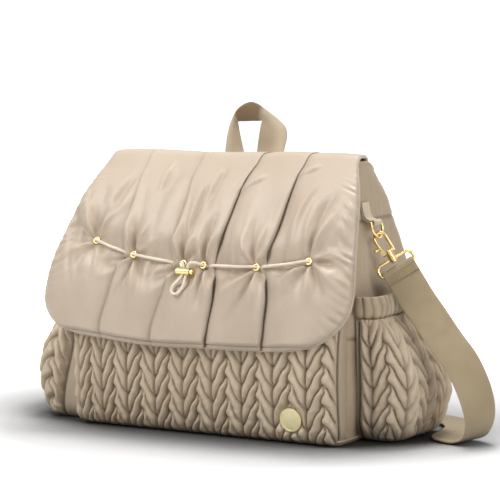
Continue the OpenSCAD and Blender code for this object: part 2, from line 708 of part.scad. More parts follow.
module strap() {
    p = curve([for (r = strap_route) r[0]], route_steps);
    w = curve([for (r = strap_route) r[1]], route_steps);
    color(webbing) loft([for (i = [0 : len(p) - 1])
        let (t = travel(p, i), a = unit(w[i] - (w[i] * t) * t), n = cross(t, a))
        [for (c = [[1, 1], [-1, 1], [-1, -1], [1, -1]])
            p[i] + c[0] * strap_w / 2 * a + c[1] * strap_t / 2 * n]]);
}

module badge() {
    rim = 1.2;
    seat = pocket_y(badge_z) - seam_gap;
    slope = atan2(pocket_y(badge_z - 1) - pocket_y(badge_z + 1), 2);
    color(pale_gold) translate([pocket_w / 2 - badge_in, seat, badge_z]) rotate([90 + slope, 0, 0]) difference() {
        cylinder(d = badge_d, h = badge_t);
        translate([0, 0, badge_t - 0.5]) cylinder(d = badge_d - 2 * rim, h = 1);
    }
}

module left() {
    mirror([1, 0, 0]) children();
}

base_panel();
main_body();
base_board();
back_panel();
front_pocket();
left() side_pocket();  // side_pocket_left
side_pocket();  // side_pocket_right
left() elastic_band();  // elastic_band_left
elastic_band();  // elastic_band_right
flap();
eyelets();
drawcord();
stopper_body();
stopper_button();
carry_handle();
left() d_ring_tab();  // d_ring_tab_left
d_ring_tab();  // d_ring_tab_right
left() d_ring();  // d_ring_left
d_ring();  // d_ring_right
left() hook_body();  // hook_body_left
hook_body();  // hook_body_right
left() hook_gate();  // hook_gate_left
hook_gate();  // hook_gate_right
left() gate_pin();  // gate_pin_left
gate_pin();  // gate_pin_right
left() strap_ring();  // strap_ring_left
strap_ring();  // strap_ring_right
left() strap_end();  // strap_end_left
strap_end();  // strap_end_right
strap();
badge();
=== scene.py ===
from math import atan2, ceil, cos, exp, floor, hypot, pi, radians, sin, sqrt

import bmesh
import bpy
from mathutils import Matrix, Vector, noise


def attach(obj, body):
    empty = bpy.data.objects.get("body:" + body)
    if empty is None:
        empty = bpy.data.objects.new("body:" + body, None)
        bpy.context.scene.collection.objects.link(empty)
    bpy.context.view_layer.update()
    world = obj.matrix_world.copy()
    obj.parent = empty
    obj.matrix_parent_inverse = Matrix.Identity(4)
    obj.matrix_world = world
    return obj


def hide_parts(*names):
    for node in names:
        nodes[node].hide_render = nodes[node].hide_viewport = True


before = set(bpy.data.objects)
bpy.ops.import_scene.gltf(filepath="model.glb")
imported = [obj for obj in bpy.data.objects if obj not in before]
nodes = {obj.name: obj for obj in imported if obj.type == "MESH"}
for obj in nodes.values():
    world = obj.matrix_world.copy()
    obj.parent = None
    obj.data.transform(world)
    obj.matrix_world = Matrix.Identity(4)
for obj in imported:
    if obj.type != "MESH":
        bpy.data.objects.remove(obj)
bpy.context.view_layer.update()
MM = 0.001

# Camera, at the photograph's angle: lens and sensor in millimetres, the rest in metres

VIEW_TURN = radians(30)
VIEW_RISE = radians(7.5)
VIEW_AIM = Vector((0.0070, 0.0011, 0.1935))
VIEW_REACH = 50
FRAME_WIDTH = 0.550
LENS = 300
SENSOR = 36


def add_object(name, data):
    made = bpy.data.objects.new(name, data)
    bpy.context.collection.objects.link(made)
    return made


def make_camera():
    """A long lens that looks down a little from the front right."""
    level = cos(VIEW_RISE)
    ahead = Vector((-sin(VIEW_TURN) * level, cos(VIEW_TURN) * level, -sin(VIEW_RISE)))
    data = bpy.data.cameras.new("camera")
    data.lens = LENS
    data.sensor_width = SENSOR
    data.clip_end = VIEW_REACH
    camera = add_object("camera", data)
    camera.location = VIEW_AIM - ahead * (FRAME_WIDTH * LENS / SENSOR)
    camera.rotation_euler = ahead.to_track_quat("-Z", "Y").to_euler()
    bpy.context.scene.camera = camera


# Small helpers, lengths in millimetres until a mesh is made


def clamp(value, low=0.0, high=1.0):
    return max(low, min(high, value))


def ease(edge_a, edge_b, value):
    """Goes smoothly from 0 at edge_a to 1 at edge_b."""
    t = clamp((value - edge_a) / (edge_b - edge_a))
    return t * t * (3 - 2 * t)


def bell(value, width):
    return exp(-(value / width) ** 2)


def ripple(x, y, z, size, seed=0.0):
    """Smooth noise between about -1 and 1, with features of the given size."""
    return noise.noise(Vector((x / size + seed, y / size - seed, z / size + 2 * seed)))


def at_table(table, value):
    """Reads a table of (place, amount) pairs, in rising order of place."""
    if value <= table[0][0]:
        return table[0][1]
    for (a, low), (b, high) in zip(table, table[1:]):
        if value <= b:
            return low + (high - low) * (value - a) / (b - a)
    return table[-1][1]


def smooth_through(points, steps):
    """A Catmull-Rom line through points, which are vectors."""
    line = []
    for i in range(len(points) - 1):
        before = points[max(0, i - 1)]
        a = points[i]
        b = points[i + 1]
        after = points[min(len(points) - 1, i + 2)]
        for k in range(steps):
            t = k / steps
            line.append(0.5 * (2 * a + (b - before) * t + (2 * before - 5 * a + 4 * b - after) * t * t
                               + (3 * a - before - 3 * b + after) * t * t * t))
    line.append(points[-1].copy())
    return line


def smoothed(table, place, step):
    """Reads a table with its corners rounded: the mean of five places a step apart."""
    return sum(at_table(table, place + k * step) for k in (-2, -1, 0, 1, 2)) / 5


def gone_along(line):
    """How far along a line of vectors each of its points lies."""
    far = [0.0]
    for a, b in zip(line, line[1:]):
        far.append(far[-1] + (b - a).length)
    return far


def mesh_piece(name, points, faces, material):
    """A mesh object from points in millimetres."""
    mesh = bpy.data.meshes.new(name)
    mesh.from_pydata([tuple(MM * c for c in p) for p in points], [], faces)
    mesh.validate()
    piece = add_object(name, mesh)
    mesh.materials.append(material)
    mesh.polygons.foreach_set("use_smooth", [True] * len(mesh.polygons))
    tidy = bmesh.new()
    tidy.from_mesh(mesh)
    bmesh.ops.recalc_face_normals(tidy, faces=tidy.faces)
    tidy.to_mesh(mesh)
    tidy.free()
    return piece


def dress(piece, body, slot, *stands_for):
    """Says which body carries a piece and which solids it stands for; its material slot is not used."""
    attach(piece, body)
    if stands_for:
        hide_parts(*stands_for)


def painted_shade_map(piece, values):
    """Keeps a number for each point, which a material reads as how much painted shade to lay on there: shade
    painted into folds, creases, seams and hollows.
    """
    layer = piece.data.attributes.new("fold", "FLOAT", "POINT")
    layer.data.foreach_set("value", values)


def ring_faces(first, second, count):
    """Quads between two rings of points, from where each ring starts."""
    nexts = [(k, (k + 1) % count) for k in range(count)]
    return [(first + a, first + b, second + b, second + a) for a, b in nexts]


def pipe_faces(rows, around, start=0):
    """Quads over rows of points that each close into a ring."""
    faces = []
    for i in range(rows - 1):
        faces += ring_faces(start + i * around, start + (i + 1) * around, around)
    return faces


def rod_faces(rows, around):
    """A pipe with both ends closed."""
    last = (rows - 1) * around
    return pipe_faces(rows, around) + [tuple(range(around)), tuple(range(last, last + around))]


def grid_faces(rows, columns, start=0):
    """Quads over rows of points that stay open at both sides."""
    faces = []
    for i in range(rows - 1):
        for j in range(columns - 1):
            k = start + i * columns + j
            faces.append((k, k + 1, k + 1 + columns, k + columns))
    return faces


def shell_faces(rows, columns):
    """Quads of a closed sheet: an outer grid, an inner grid after it, and their four edges."""
    inner = rows * columns
    faces = grid_faces(rows, columns) + grid_faces(rows, columns, inner)
    edge = [j for j in range(columns)]
    edge += [i * columns + columns - 1 for i in range(1, rows)]
    edge += [(rows - 1) * columns + j for j in range(columns - 2, -1, -1)]
    edge += [i * columns for i in range(rows - 2, 0, -1)]
    for a, b in zip(edge, edge[1:] + edge[:1]):
        faces.append((a, b, b + inner, a + inner))
    return faces


def cloth(name, rows, outer, inner, folds, inner_painted_shade, material):
    """A closed sheet from its outer and inner places, with the painted shade of its folds on the outer face
    and one even painted shade on the inner face.
    """
    piece = mesh_piece(name, outer + inner, shell_faces(rows, len(outer) // rows), material)
    painted_shade_map(piece, folds + [inner_painted_shade] * len(inner))
    return piece


def tube(name, line, radius, material, around=10, closed=False):
    """A round cord along a line of vectors."""
    count = len(line)
    points = []
    side = None
    for i in range(count):
        ahead = line[(i + 1) % count] if closed or i < count - 1 else line[i]
        behind = line[i - 1] if closed or i > 0 else line[i]
        along = (ahead - behind).normalized()
        if side is None:
            side = along.orthogonal().normalized()
        side = (side - along * side.dot(along)).normalized()
        other = along.cross(side)
        for k in range(around):
            turn = 2 * pi * k / around
            points.append(line[i] + radius * (cos(turn) * side + sin(turn) * other))
    if closed:
        faces = pipe_faces(count, around) + ring_faces((count - 1) * around, 0, around)
    else:
        faces = rod_faces(count, around)
    return mesh_piece(name, points, faces, material)


TO_FRONT = Vector((0, -1, 0))
TO_BACK = Vector((0, 1, 0))
TO_LEFT = Vector((-1, 0, 0))
TO_RIGHT = Vector((1, 0, 0))


def straight(start, end, out, count):
    """Places (across, back, outward) along a straight wall, all but its end."""
    (ax, ay), (bx, by) = start, end
    return [(ax + (bx - ax) * k / count, ay + (by - ay) * k / count, out) for k in range(count)]


def corner(x, y, r, start, count):
    """Places round a quarter circle about x, y, anticlockwise from an angle, all but its end."""
    turns = [start + pi / 2 * k / count for k in range(count)]
    return [(x + r * cos(a), y + r * sin(a), Vector((cos(a), sin(a), 0))) for a in turns]


def rounded_ring(half, front, back, r, across, deep, turn):
    """A closed outline with round corners, from the left end of its front: counts of places on each run."""
    left = -half + r
    right = half - r
    near = front + r
    far = back - r
    ring = straight((left, front), (right, front), TO_FRONT, across) + corner(right, near, r, -pi / 2, turn)
    ring += straight((half, near), (half, far), TO_RIGHT, deep) + corner(right, far, r, 0, turn)
    ring += straight((right, back), (left, back), TO_BACK, across) + corner(left, far, r, pi / 2, turn)
    return ring + straight((-half, far), (-half, near), TO_LEFT, deep) + corner(left, near, r, pi, turn)


# Materials


def shade(red, green, blue):
    """An sRGB colour of 0 to 255 as the linear colour that a shader takes."""
    def linear(c):
        c = c / 255
        return c / 12.92 if c <= 0.04045 else ((c + 0.055) / 1.055) ** 2.4
    return (linear(red), linear(green), linear(blue), 1.0)


def grey(level):
    return (level, level, level, 1.0)


class Tree:
    """A node tree, with short calls for the nodes used here."""

    def __init__(self, owner):
        owner.use_nodes = True
        self.tree = owner.node_tree

    def node(self, kind, **values):
        made = self.tree.nodes.new(kind)
        for key, value in values.items():
            setattr(made, key, value)
        return made

    def link(self, start, end):
        self.tree.links.new(start, end)

    def feed(self, socket, value):
        """Sets a socket to a plain value, or links it."""
        if isinstance(value, (int, float, tuple)):
            socket.default_value = value
        else:
            self.link(value, socket)

    def math(self, kind, a, b):
        made = self.node("ShaderNodeMath", operation=kind)
        self.feed(made.inputs[0], a)
        self.feed(made.inputs[1], b)
        return made.outputs["Value"]

    def spread(self, value, low, high, start=0.0, end=1.0):
        """Draws the range from start to end out over low to high."""
        made = self.node("ShaderNodeMapRange")
        for key, number in (("From Min", start), ("From Max", end), ("To Min", low), ("To Max", high)):
            made.inputs[key].default_value = number
        self.link(value, made.inputs["Value"])
        return made.outputs["Result"]


class Paint(Tree):
    """A material with one shader."""

    def __init__(self, name):
        self.material = bpy.data.materials.new(name)
        super().__init__(self.material)
        self.shader = self.tree.nodes["Principled BSDF"]
        self.places = self.node("ShaderNodeTexCoord")

    def placed(self, made, scale, space, stretch, turn):
        made.inputs["Scale"].default_value = scale
        place = self.node("ShaderNodeMapping")
        place.inputs["Scale"].default_value = stretch
        place.inputs["Rotation"].default_value = (0, 0, turn)
        self.link(self.places.outputs[space], place.inputs["Vector"])
        self.link(place.outputs["Vector"], made.inputs["Vector"])
        return made.outputs["Fac"]

    def noise(self, scale, detail, stretch=(1, 1, 1)):
        made = self.node("ShaderNodeTexNoise")
        made.inputs["Detail"].default_value = detail
        return self.placed(made, scale, "Object", stretch, 0.0)

    def wave(self, scale, turn):
        made = self.node("ShaderNodeTexWave", wave_type="BANDS", bands_direction="X", wave_profile="SIN")
        return self.placed(made, scale, "UV", (1, 1, 1), turn)

    def fold(self):
        """The painted shade in folds, creases, seams and hollows, which a piece keeps for each point."""
        return self.node("ShaderNodeAttribute", attribute_name="fold").outputs["Fac"]

    def ramp(self, fac, *stops):
        made = self.node("ShaderNodeValToRGB")
        for element, (place, colour) in zip(made.color_ramp.elements, stops):
            element.position = place
            element.color = colour
        self.link(fac, made.inputs["Fac"])
        return made.outputs["Color"]

    def tones(self, scale, detail, deep, light, low=0.3, high=0.7):
        """Two tones in clouds."""
        return self.ramp(self.noise(scale, detail), (low, deep), (high, light))

    def mix(self, fac, a, b, kind="MIX"):
        made = self.node("ShaderNodeMix", data_type="RGBA", blend_type=kind)
        for key, value in (("Factor", fac), ("A", a), ("B", b)):
            self.feed(made.inputs[key], value)
        return [s for s in made.outputs if s.type == "RGBA"][0]

    def colour(self, value):
        self.link(value, self.shader.inputs["Base Color"])

    def rough(self, fac, low, high):
        self.link(self.spread(fac, low, high), self.shader.inputs["Roughness"])

    def bumps(self, *layers):
        """Stacks bumps: (height, strength, distance in millimetres)."""
        below = None
        for height, strength, distance in layers:
            made = self.node("ShaderNodeBump")
            made.inputs["Strength"].default_value = strength
            made.inputs["Distance"].default_value = distance * MM
            self.link(height, made.inputs["Height"])
            if below is not None:
                self.link(below, made.inputs["Normal"])
            below = made.outputs["Normal"]
        self.link(below, self.shader.inputs["Normal"])

    def set(self, **values):
        for key, value in values.items():
            self.shader.inputs[key.replace("_", " ")].default_value = value


def nylon(name, light, deep, painted_crease_shade, gloss, crumple):
    """Thin down-proof nylon: a fine weave, small crumples, and painted shade where it lies in a fold."""
    n = Paint(name)
    tone = n.tones(14, 4, deep, light)
    fold = n.fold()
    fleck = n.tones(900, 2, grey(0.93), grey(1), 0.35, 0.65)
    # Painted shade: the crease colour is laid over the tone as far as the painted shade layer says
    n.colour(n.mix(0.7, n.mix(fold, tone, painted_crease_shade), fleck, "MULTIPLY"))
    n.rough(n.noise(60, 3), gloss - 0.06, gloss + 0.10)
    crumples = n.noise(75, 5)
    weave = n.noise(1500, 1)
    n.bumps((crumples, crumple, 2.2), (weave, 0.16, 0.25))
    n.set(Sheen_Weight=0.22, Sheen_Roughness=0.42, Sheen_Tint=(1.0, 0.97, 0.92, 1.0))
    n.set(Specular_IOR_Level=0.42)
    return n.material


# Waves in a metre of webbing and of cord
RIB = 640
FINE_RIB = 1088
BRAID = 330


def webbing(name, light, deep, inside):
    """Twill webbing: slanting ribs across the band, and painted shade, a darker tone, where the painted shade
    layer says so.
    """
    n = Paint(name)
    twill = n.wave(RIB, radians(52))
    yarn = n.wave(FINE_RIB, radians(-38))
    tone = n.tones(30, 4, deep, light)
    lines = n.ramp(twill, (0.1, (0.80, 0.79, 0.77, 1)), (0.8, grey(1)))
    # inside is the colour of the painted shade
    n.colour(n.mix(0.75, n.mix(n.fold(), tone, inside), lines, "MULTIPLY"))
    n.rough(n.noise(300, 2), 0.58, 0.74)
    n.bumps((twill, 0.5, 0.5), (yarn, 0.25, 0.25))
    n.set(Sheen_Weight=0.25, Sheen_Roughness=0.5, Specular_IOR_Level=0.35)
    return n.material


def braided_cord(name, light, deep):
    """A round braided cord, with two sets of yarn that cross."""
    n = Paint(name)
    yarns = n.math("MAXIMUM", n.wave(BRAID, radians(35)), n.wave(BRAID, radians(-35)))
    n.colour(n.ramp(yarns, (0.2, deep), (0.85, light)))
    n.rough(n.noise(400, 2), 0.5, 0.65)
    n.bumps((yarns, 0.6, 0.4))
    n.set(Sheen_Weight=0.2)
    return n.material


def plated(name, light, deep, gloss):
    """Cast and plated metal: faint polishing marks and a slightly uneven gloss."""
    n = Paint(name)
    n.colour(n.tones(120, 4, deep, light))
    n.rough(n.noise(260, 4, (1, 1, 5)), gloss - 0.05, gloss + 0.09)
    n.bumps((n.noise(700, 3), 0.05, 0.2))
    n.set(Metallic=1.0)
    return n.material


def stiffener(name, light, deep):
    """Pressed grey-beige fibre board."""
    n = Paint(name)
    n.colour(n.tones(420, 5, deep, light))
    n.rough(n.noise(200, 3), 0.75, 0.9)
    n.bumps((n.noise(800, 4), 0.3, 0.3))
    return n.material


def stitching(name, light, deep):
    """Sewing thread in two close tones."""
    n = Paint(name)
    n.colour(n.tones(500, 2, deep, light, 0.35, 0.65))
    n.rough(n.noise(300, 2), 0.5, 0.7)
    n.bumps((n.noise(1200, 2), 0.3, 0.15))
    return n.material


# In each nylon the third colour, and in each webbing the last, is painted shade, laid on where a piece keeps
# painted shade
PUFF = nylon("puffed_nylon", shade(199, 182, 163), shade(190, 172, 152), shade(80, 66, 50), 0.38, 0.26)
QUILT = nylon("quilted_nylon", shade(204, 186, 162), shade(194, 175, 150), shade(86, 70, 52), 0.46, 0.22)
PLAIN = nylon("plain_nylon", shade(190, 171, 145), shade(180, 160, 134), shade(118, 98, 76), 0.50, 0.34)
LINING = nylon("lining", shade(206, 190, 166), shade(196, 180, 155), shade(150, 132, 108), 0.55, 0.2)
WEB = webbing("strap_webbing", shade(189, 170, 137), shade(177, 157, 123), shade(120, 104, 78))
LOOP_WEB = webbing("handle_webbing", shade(236, 221, 194), shade(226, 209, 180), shade(138, 108, 68))
CORD = braided_cord("cord", shade(246, 236, 216), shade(216, 200, 174))
GOLD = plated("gold", shade(240, 216, 156), shade(226, 196, 130), 0.20)
PALE_GOLD = plated("pale_gold", shade(252, 243, 200), shade(244, 231, 178), 0.38)
BOARD = stiffener("board", shade(150, 138, 120), shade(128, 116, 98))
THREAD = stitching("thread", shade(196, 176, 148), shade(150, 130, 104))


# The forms of the construction, repeated here in millimetres

BODY_H = 285
BASE_W = 324
BELLY_W = 340
RIM_W = 292
BELLY_Z = 120
FRONT_D = 66
FRONT_RIM_D = 12
BACK_D = 86
BACK_RIM_D = 38
FRONT_LEAN_Z = 100
BACK_LEAN_Z = 160
CORNER_R = 20
SEAM_GAP = 0.4
POCKET_W = 330
POCKET_H = 150
POCKET_D = 26
POCKET_DRAW = 6
POCKET_R = 15
SIDE_H = 136
SIDE_OUT = 60
SIDE_BASE_OUT = 48
SIDE_NECK_OUT = 24
SIDE_FULL_Z = 52
SIDE_FRONT_D = 54
SIDE_CORNER_R = 20
SIDE_BACK_D = 64
BAND_H = 24
FLAP_LOW_Z = 93
FLAP_LOW_Y = -94.48
HINGE = Vector((0, 33, 285.6))
RIDGE = Vector((0, -16, 296))
CROWN = 9
CORD_Z = 183
CORD_RISE = 19
CORD_D = 3.3


def half_w(z):
    """Half the width of the body at a height."""
    if z < BELLY_Z:
        return BASE_W / 2 + (BELLY_W - BASE_W) / 2 * sin(pi / 2 * z / BELLY_Z)
    rise = (z - BELLY_Z) / (BODY_H - BELLY_Z)
    return RIM_W / 2 + (BELLY_W - RIM_W) / 2 * cos(pi / 2 * rise)


def depth_at(z, lean_z, deep, rim):
    """How far a wall stands from the middle at a height: upright as far as lean_z, then leaning in."""
    if z < lean_z:
        return deep
    lean = (z - lean_z) / (BODY_H - lean_z)
    return rim + (deep - rim) * cos(pi / 2 * lean)


def front_y(z):
    return -depth_at(z, FRONT_LEAN_Z, FRONT_D, FRONT_RIM_D)


def back_y(z):
    return depth_at(z, BACK_LEAN_Z, BACK_D, BACK_RIM_D)


def pocket_y(z):
    """The front face of the front pocket."""
    swell = sin(pi * clamp(z / POCKET_H))
    return front_y(z) - SEAM_GAP - POCKET_D + POCKET_DRAW * (1 - swell)


def side_reach(z):
    """How far a side pocket stands out from the body."""
    if z < SIDE_FULL_Z:
        return SIDE_BASE_OUT + (SIDE_OUT - SIDE_BASE_OUT) * sin(pi / 2 * z / SIDE_FULL_Z)
    fall = min(1, (z - SIDE_FULL_Z) / (SIDE_H - SIDE_FULL_Z))
    return SIDE_NECK_OUT + (SIDE_OUT - SIDE_NECK_OUT) * max(0, cos(pi / 2 * fall)) ** 1.2


def flap_line(v):
    """The flap's underside from the back seam (0) over the ridge (1) to the lower edge (2)."""
    if v < 1:
        line = HINGE + (RIDGE - HINGE) * v
        return Vector((0, line.y, line.z + CROWN * sin(pi * v)))
    t = v - 1
    y = RIDGE.y + (FLAP_LOW_Y - RIDGE.y) * sin(pi / 2 * t)
    return Vector((0, y, RIDGE.z + (FLAP_LOW_Z - RIDGE.z) * t))


# Half the width of the flap against height, the radius of its lower corner, and its half width at the top:
# left, then right
FLAP_SIDES = (
    ((93, 198), (138, 198), (160, 196.8), (181, 193.3), (205, 187), (224, 181), (249, 172.5), (282, 166),
     (296, 161)),
    ((93, 184), (138, 184), (160, 183.6), (181, 182), (205, 177), (224, 172), (249, 165), (282, 155),
     (296, 150)),
)
FLAP_CORNERS = (44, 70)
FLAP_TOPS = (153, 142)


def flap_low(x):
    """The lower edge rises a little from the middle to both sides, and more to the right."""
    rise = 3.0 * (1 - ease(-165, -105, x)) + 3.4 * ease(-70, 10, x) + 1.4 * ease(90, 150, x)
    return FLAP_LOW_Z + 2 + 3.5 * min(1.3, (x / 100) ** 2) + rise


def flap_half(v, right):
    """Half the width of the flap on one side, with the lower corner rounded."""
    if v < 1:
        return FLAP_TOPS[right] + 8 * v * v
    z = RIDGE.z + (FLAP_LOW_Z - RIDGE.z) * (v - 1)
    half = smoothed(FLAP_SIDES[right], z, 6)
    corner_r = FLAP_CORNERS[right]
    up = z - FLAP_LOW_Z
    if up < corner_r:
        half -= corner_r - sqrt(max(0, corner_r ** 2 - (corner_r - up) ** 2))
    return half


def cord_height(x):
    return CORD_Z + CORD_RISE * (abs(x) / 150) ** 2.6


# Strap: one free length of flat webbing from ring to ring

STRAP_W = 38
STRAP_T = 2.5
LIE = 2
HOOK_LEAN = radians(36)
HOOK_TURN = radians(30)
SWIVEL = Vector((188.504, -8, 198.533))
STRAP_START = Vector((203.963, -8, 177.256))
PULL = Vector((sin(HOOK_LEAN), 0, -cos(HOOK_LEAN)))
FACE = Vector((cos(HOOK_TURN) * cos(HOOK_LEAN), sin(HOOK_TURN), cos(HOOK_TURN) * sin(HOOK_LEAN)))


def mirrored(point):
    return Vector((-point.x, point.y, point.z))


def strap_route():
    """Places on the route, each with the direction of the strap's width."""
    right = [(STRAP_START + far * PULL, FACE) for far in (0, 14, 30)]
    middle = [
        ((237, -9, 135), FACE),
        ((256, -10, 112), FACE),
        ((275, -10, 90), FACE),
        ((287, -8, 66), (0.72, 0.58, 0.36)),
        ((292, -3, 43), (0.62, 0.75, 0.22)),
        ((290, 3, 24), (0.45, 0.88, 0.10)),
        ((281, 9, 9), (0.30, 0.95, 0.02)),
        ((266, 13, LIE + 0.5), (0.2, 0.98, 0)),
        ((250, 17, LIE), (0.2, 0.98, 0)),
        ((240, 30, LIE), (0.5, 0.86, 0)),
        ((236, 56, LIE), (0.92, 0.38, 0)),
        ((222, 94, LIE), (0.86, 0.5, 0)),
        ((190, 120, LIE), (0.6, 0.8, 0)),
        ((120, 138, LIE), (0.1, 0.99, 0)),
        ((0, 140, LIE), (0, 1, 0)),
        ((-120, 138, LIE), (0, 1, 0)),
        ((-206, 130, LIE + 2), (-0.1, 0.99, 0)),
        ((-242, 108, 22), (-0.4, 0.9, 0.1)),
        ((-254, 76, 58), (-0.5, 0.72, 0.48)),
        ((-252, 40, 96), (-0.56, 0.6, 0.57)),
        ((-240, 8, 128), (-0.66, 0.5, 0.53)),
    ]
    left = [(mirrored(place), mirrored(wide)) for place, wide in reversed(right)]
    route = right + [(Vector(place), Vector(wide)) for place, wide in middle] + left
    return [place for place, wide in route], [wide for place, wide in route]


# The cut end of webbing, in shares of half its width and thickness: where its flat faces and rolled edges end
FLAT_EDGE = 0.95
ROLLED_EDGE = 0.985
ROLLED_THICK = 0.8
FLAT_STEPS = 12


def band_section():
    """Places round the cut end of webbing: across and through."""
    flat = [(-FLAT_EDGE + 2 * FLAT_EDGE * k / FLAT_STEPS, 1.0) for k in range(FLAT_STEPS + 1)]
    half = [(-ROLLED_EDGE, ROLLED_THICK)] + flat + [(ROLLED_EDGE, ROLLED_THICK)]
    return [(-1.0, 0.0)] + half + [(1.0, 0.0)] + [(-a, -b) for a, b in half]


def band(name, line, wides, width, thick, material):
    """Flat webbing along a line. Its edges are rolled, and the yarn directions go into a UV map."""
    section = band_section()
    points = []
    marks = []
    for i, (place, gone) in enumerate(zip(line, gone_along(line))):
        along = (line[min(i + 1, len(line) - 1)] - line[max(i - 1, 0)]).normalized()
        across = (wides[i] - along * wides[i].dot(along)).normalized()
        out = along.cross(across)
        for a, b in section:
            points.append(place + across * (a * width / 2) + out * (b * thick / 2))
            marks.append((a * width / 2 * MM, gone * MM))
    piece = mesh_piece(name, points, rod_faces(len(line), len(section)), material)
    lay_uv(piece, marks)
    return piece


def lay_uv(piece, marks):
    """A UV map in metres, one mark for each point."""
    layer = piece.data.uv_layers.new(name="lie")
    for loop in piece.data.loops:
        layer.data[loop.index].uv = marks[loop.vertex_index]


STITCH_PITCH = 2.7
STITCH_LONG = 1.9
STITCH_WIDE = 0.42
STITCH_ARCH = 0.28
# Along a stitch: place, height and width
STITCH_STEPS = ((-1, -0.1, 0.5), (-0.55, 0.34, 1.0), (0.55, 0.34, 1.0), (1, -0.1, 0.5))
# The points round the underside of a stitch
STITCH_UNDER = (0, 3, 6, 9, 10, 11, 8, 5, 2, 1)


def stitch_row(name, line, up):
    """Short raised stitches along a line of vectors, which stand up the way that up points."""
    points = []
    faces = []
    gone = 0.0
    due = STITCH_PITCH / 2
    for before, after in zip(line, line[1:]):
        step = after - before
        while gone + step.length >= due:
            place = before + step * ((due - gone) / step.length)
            along = step.normalized() * (STITCH_LONG / 2)
            side = along.cross(up).normalized() * STITCH_WIDE
            first = len(points)
            for end, lift, wide in STITCH_STEPS:
                for turn in (-1, 0, 1):
                    arch = 0.0 if turn else STITCH_ARCH
                    points.append(place + along * end + side * (turn * wide) + up * (lift + arch))
            faces += grid_faces(len(STITCH_STEPS), 3, first)
            faces.append(tuple(first + k for k in STITCH_UNDER))
            due += STITCH_PITCH
        gone += step.length
    return mesh_piece(name, points, faces, THREAD)


def make_strap():
    places, wides = strap_route()
    line = smooth_through(places, 10)
    strap = band("strap_webbing", line, smooth_through(wides, 10), STRAP_W, STRAP_T, WEB)
    dress(strap, "bag", "webbing", "strap")


# Flap: five puffed panels whose pleats lap outwards from the middle one

# Each pleat's line: height, and place across
PLEATS = (
    ((105, -119), (145, -108), (173, -105), (194, -105), (231, -104), (264, -109), (296, -109), (336, -106)),
    ((105, -54), (130, -47), (157, -39), (176, -40), (192, -42), (210, -40), (235, -38.5), (273, -45),
     (296, -43), (336, -34)),
    ((105, 8), (150, 12), (165, 11), (180, 7.5), (192, 7), (204, 10), (237, 15.5), (268, 19), (296, 27),
     (336, 40)),
    ((105, 78), (150, 77), (165, 75), (180, 70.5), (192, 70), (204, 73), (222, 78), (251, 80), (273, 82),
     (296, 86), (336, 97)),
)
EYELET_XS = (-143, -92.4, -28, -3, 63, 125.5)
EYELET_OFF = 7.8
PANEL_COLUMNS = 44
TOP_ROWS = 26
FRONT_ROWS = 150
HEM_ROWS = 24
HEM_V = 1.95
# How far a pleat laps over the next panel, against height
LAP = ((93, 0.30), (112, 0.95), (150, 1.25), (180, 0.80), (215, 0.90), (262, 0.60), (290, 0.35),
       (310, 0.25))
# How wide the right-hand pleats stand open, against height
OPEN = ((93, 0), (108, 1.0), (135, 3.0), (163, 4.4), (177, 2.2), (188, 0.8), (215, 1.8), (262, 1.5),
        (303, 0.7))
# Places round a fold: how far it laps, and how much of the step up is left
FOLD_ROUND = ((0.5, 0.97), (0.86, 0.86), (1.0, 0.66), (0.86, 0.42), (0.3, 0.2), (-0.25, 0.06))
LAP_MM = 4.8
# Panels from left to right, the number of the middle one, and the least width of one
PANELS = 5
MIDDLE = 2
PANEL_MIN = 3
# Height that stands for the top of the flap in tables, and how far the pleats' lines go on over it
TOP_LEVEL = 303
TOP_RUN = 40
# How far out the cloth stands: at its lowest, at a tucked edge over that, and in a full panel over both
CLOTH_LOW = 3.0
TUCK_STAND = 2.4
PUFF_HIGH = 10.0
# How far out the cloth may stand under the cord and under the stopper
CORD_ROOM = 8.6
STOPPER_ROOM = 9.4
# Gathers along the side edges: how far in they reach, their pitch, and their depth on the left and the right
PUCKER_REACH = 40
PUCKER_PITCH = 10.5
PUCKER_DEEP = (2.4, 5.8)
# The sewn line above the lower edge
HEM_UP = 3.8
HEM_DEEP = 1.1
# Steps along the flap over which its ridge is rounded
RIDGE_ROUND = (-0.36, -0.24, -0.12, 0.0, 0.04, 0.08, 0.12)


def pleat_x(k, z):
    """Where a pleat runs at a height."""
    return smoothed(PLEATS[k], z, 4.5)


def creased(value):
    """Turns smooth noise into round ridges with narrow valleys."""
    return 2.4 * abs(value) - 0.6


# Folds that run out from each eyelet: direction in degrees, length, and height (or depth, below zero)
EYELET_FOLDS = (
    ((138, 46, 3.4), (160, 42, -2.4), (118, 38, -2.4), (212, 36, 2.8), (188, 32, -2.2), (245, 34, -2.0),
     (62, 44, 2.8), (85, 32, -2.2), (300, 36, 2.0)),
    ((122, 34, 4.4), (96, 32, -3.2), (70, 34, 2.4), (205, 40, -3.4), (228, 42, 3.2), (268, 50, -2.8),
     (290, 54, 3.2), (312, 36, -2.2), (35, 30, 2.0)),
    ((126, 38, 4.4), (100, 34, -3.2), (75, 30, 2.4), (214, 46, -3.6), (238, 48, 3.2), (262, 30, -1.6),
     (45, 26, -1.6)),
    ((92, 46, -2.8), (72, 42, 3.0), (118, 34, 1.8), (300, 42, 3.2), (282, 42, -2.6), (325, 30, -2.0)),
    ((140, 38, 3.2), (112, 40, -2.8), (88, 42, 3.0), (62, 34, 3.4), (205, 46, -3.0), (230, 52, 2.8),
     (262, 66, -3.4), (282, 58, 3.0), (320, 30, -2.2)),
    ((89, 56, -4.0), (70, 46, 3.0), (110, 42, 2.8), (22, 50, 2.8), (2, 46, -2.6), (340, 50, 3.0),
     (315, 46, -2.6), (288, 48, 2.8), (250, 50, -2.6), (222, 52, 2.8), (200, 38, -2.2)),
)
FOLD_HIGH = 1.7


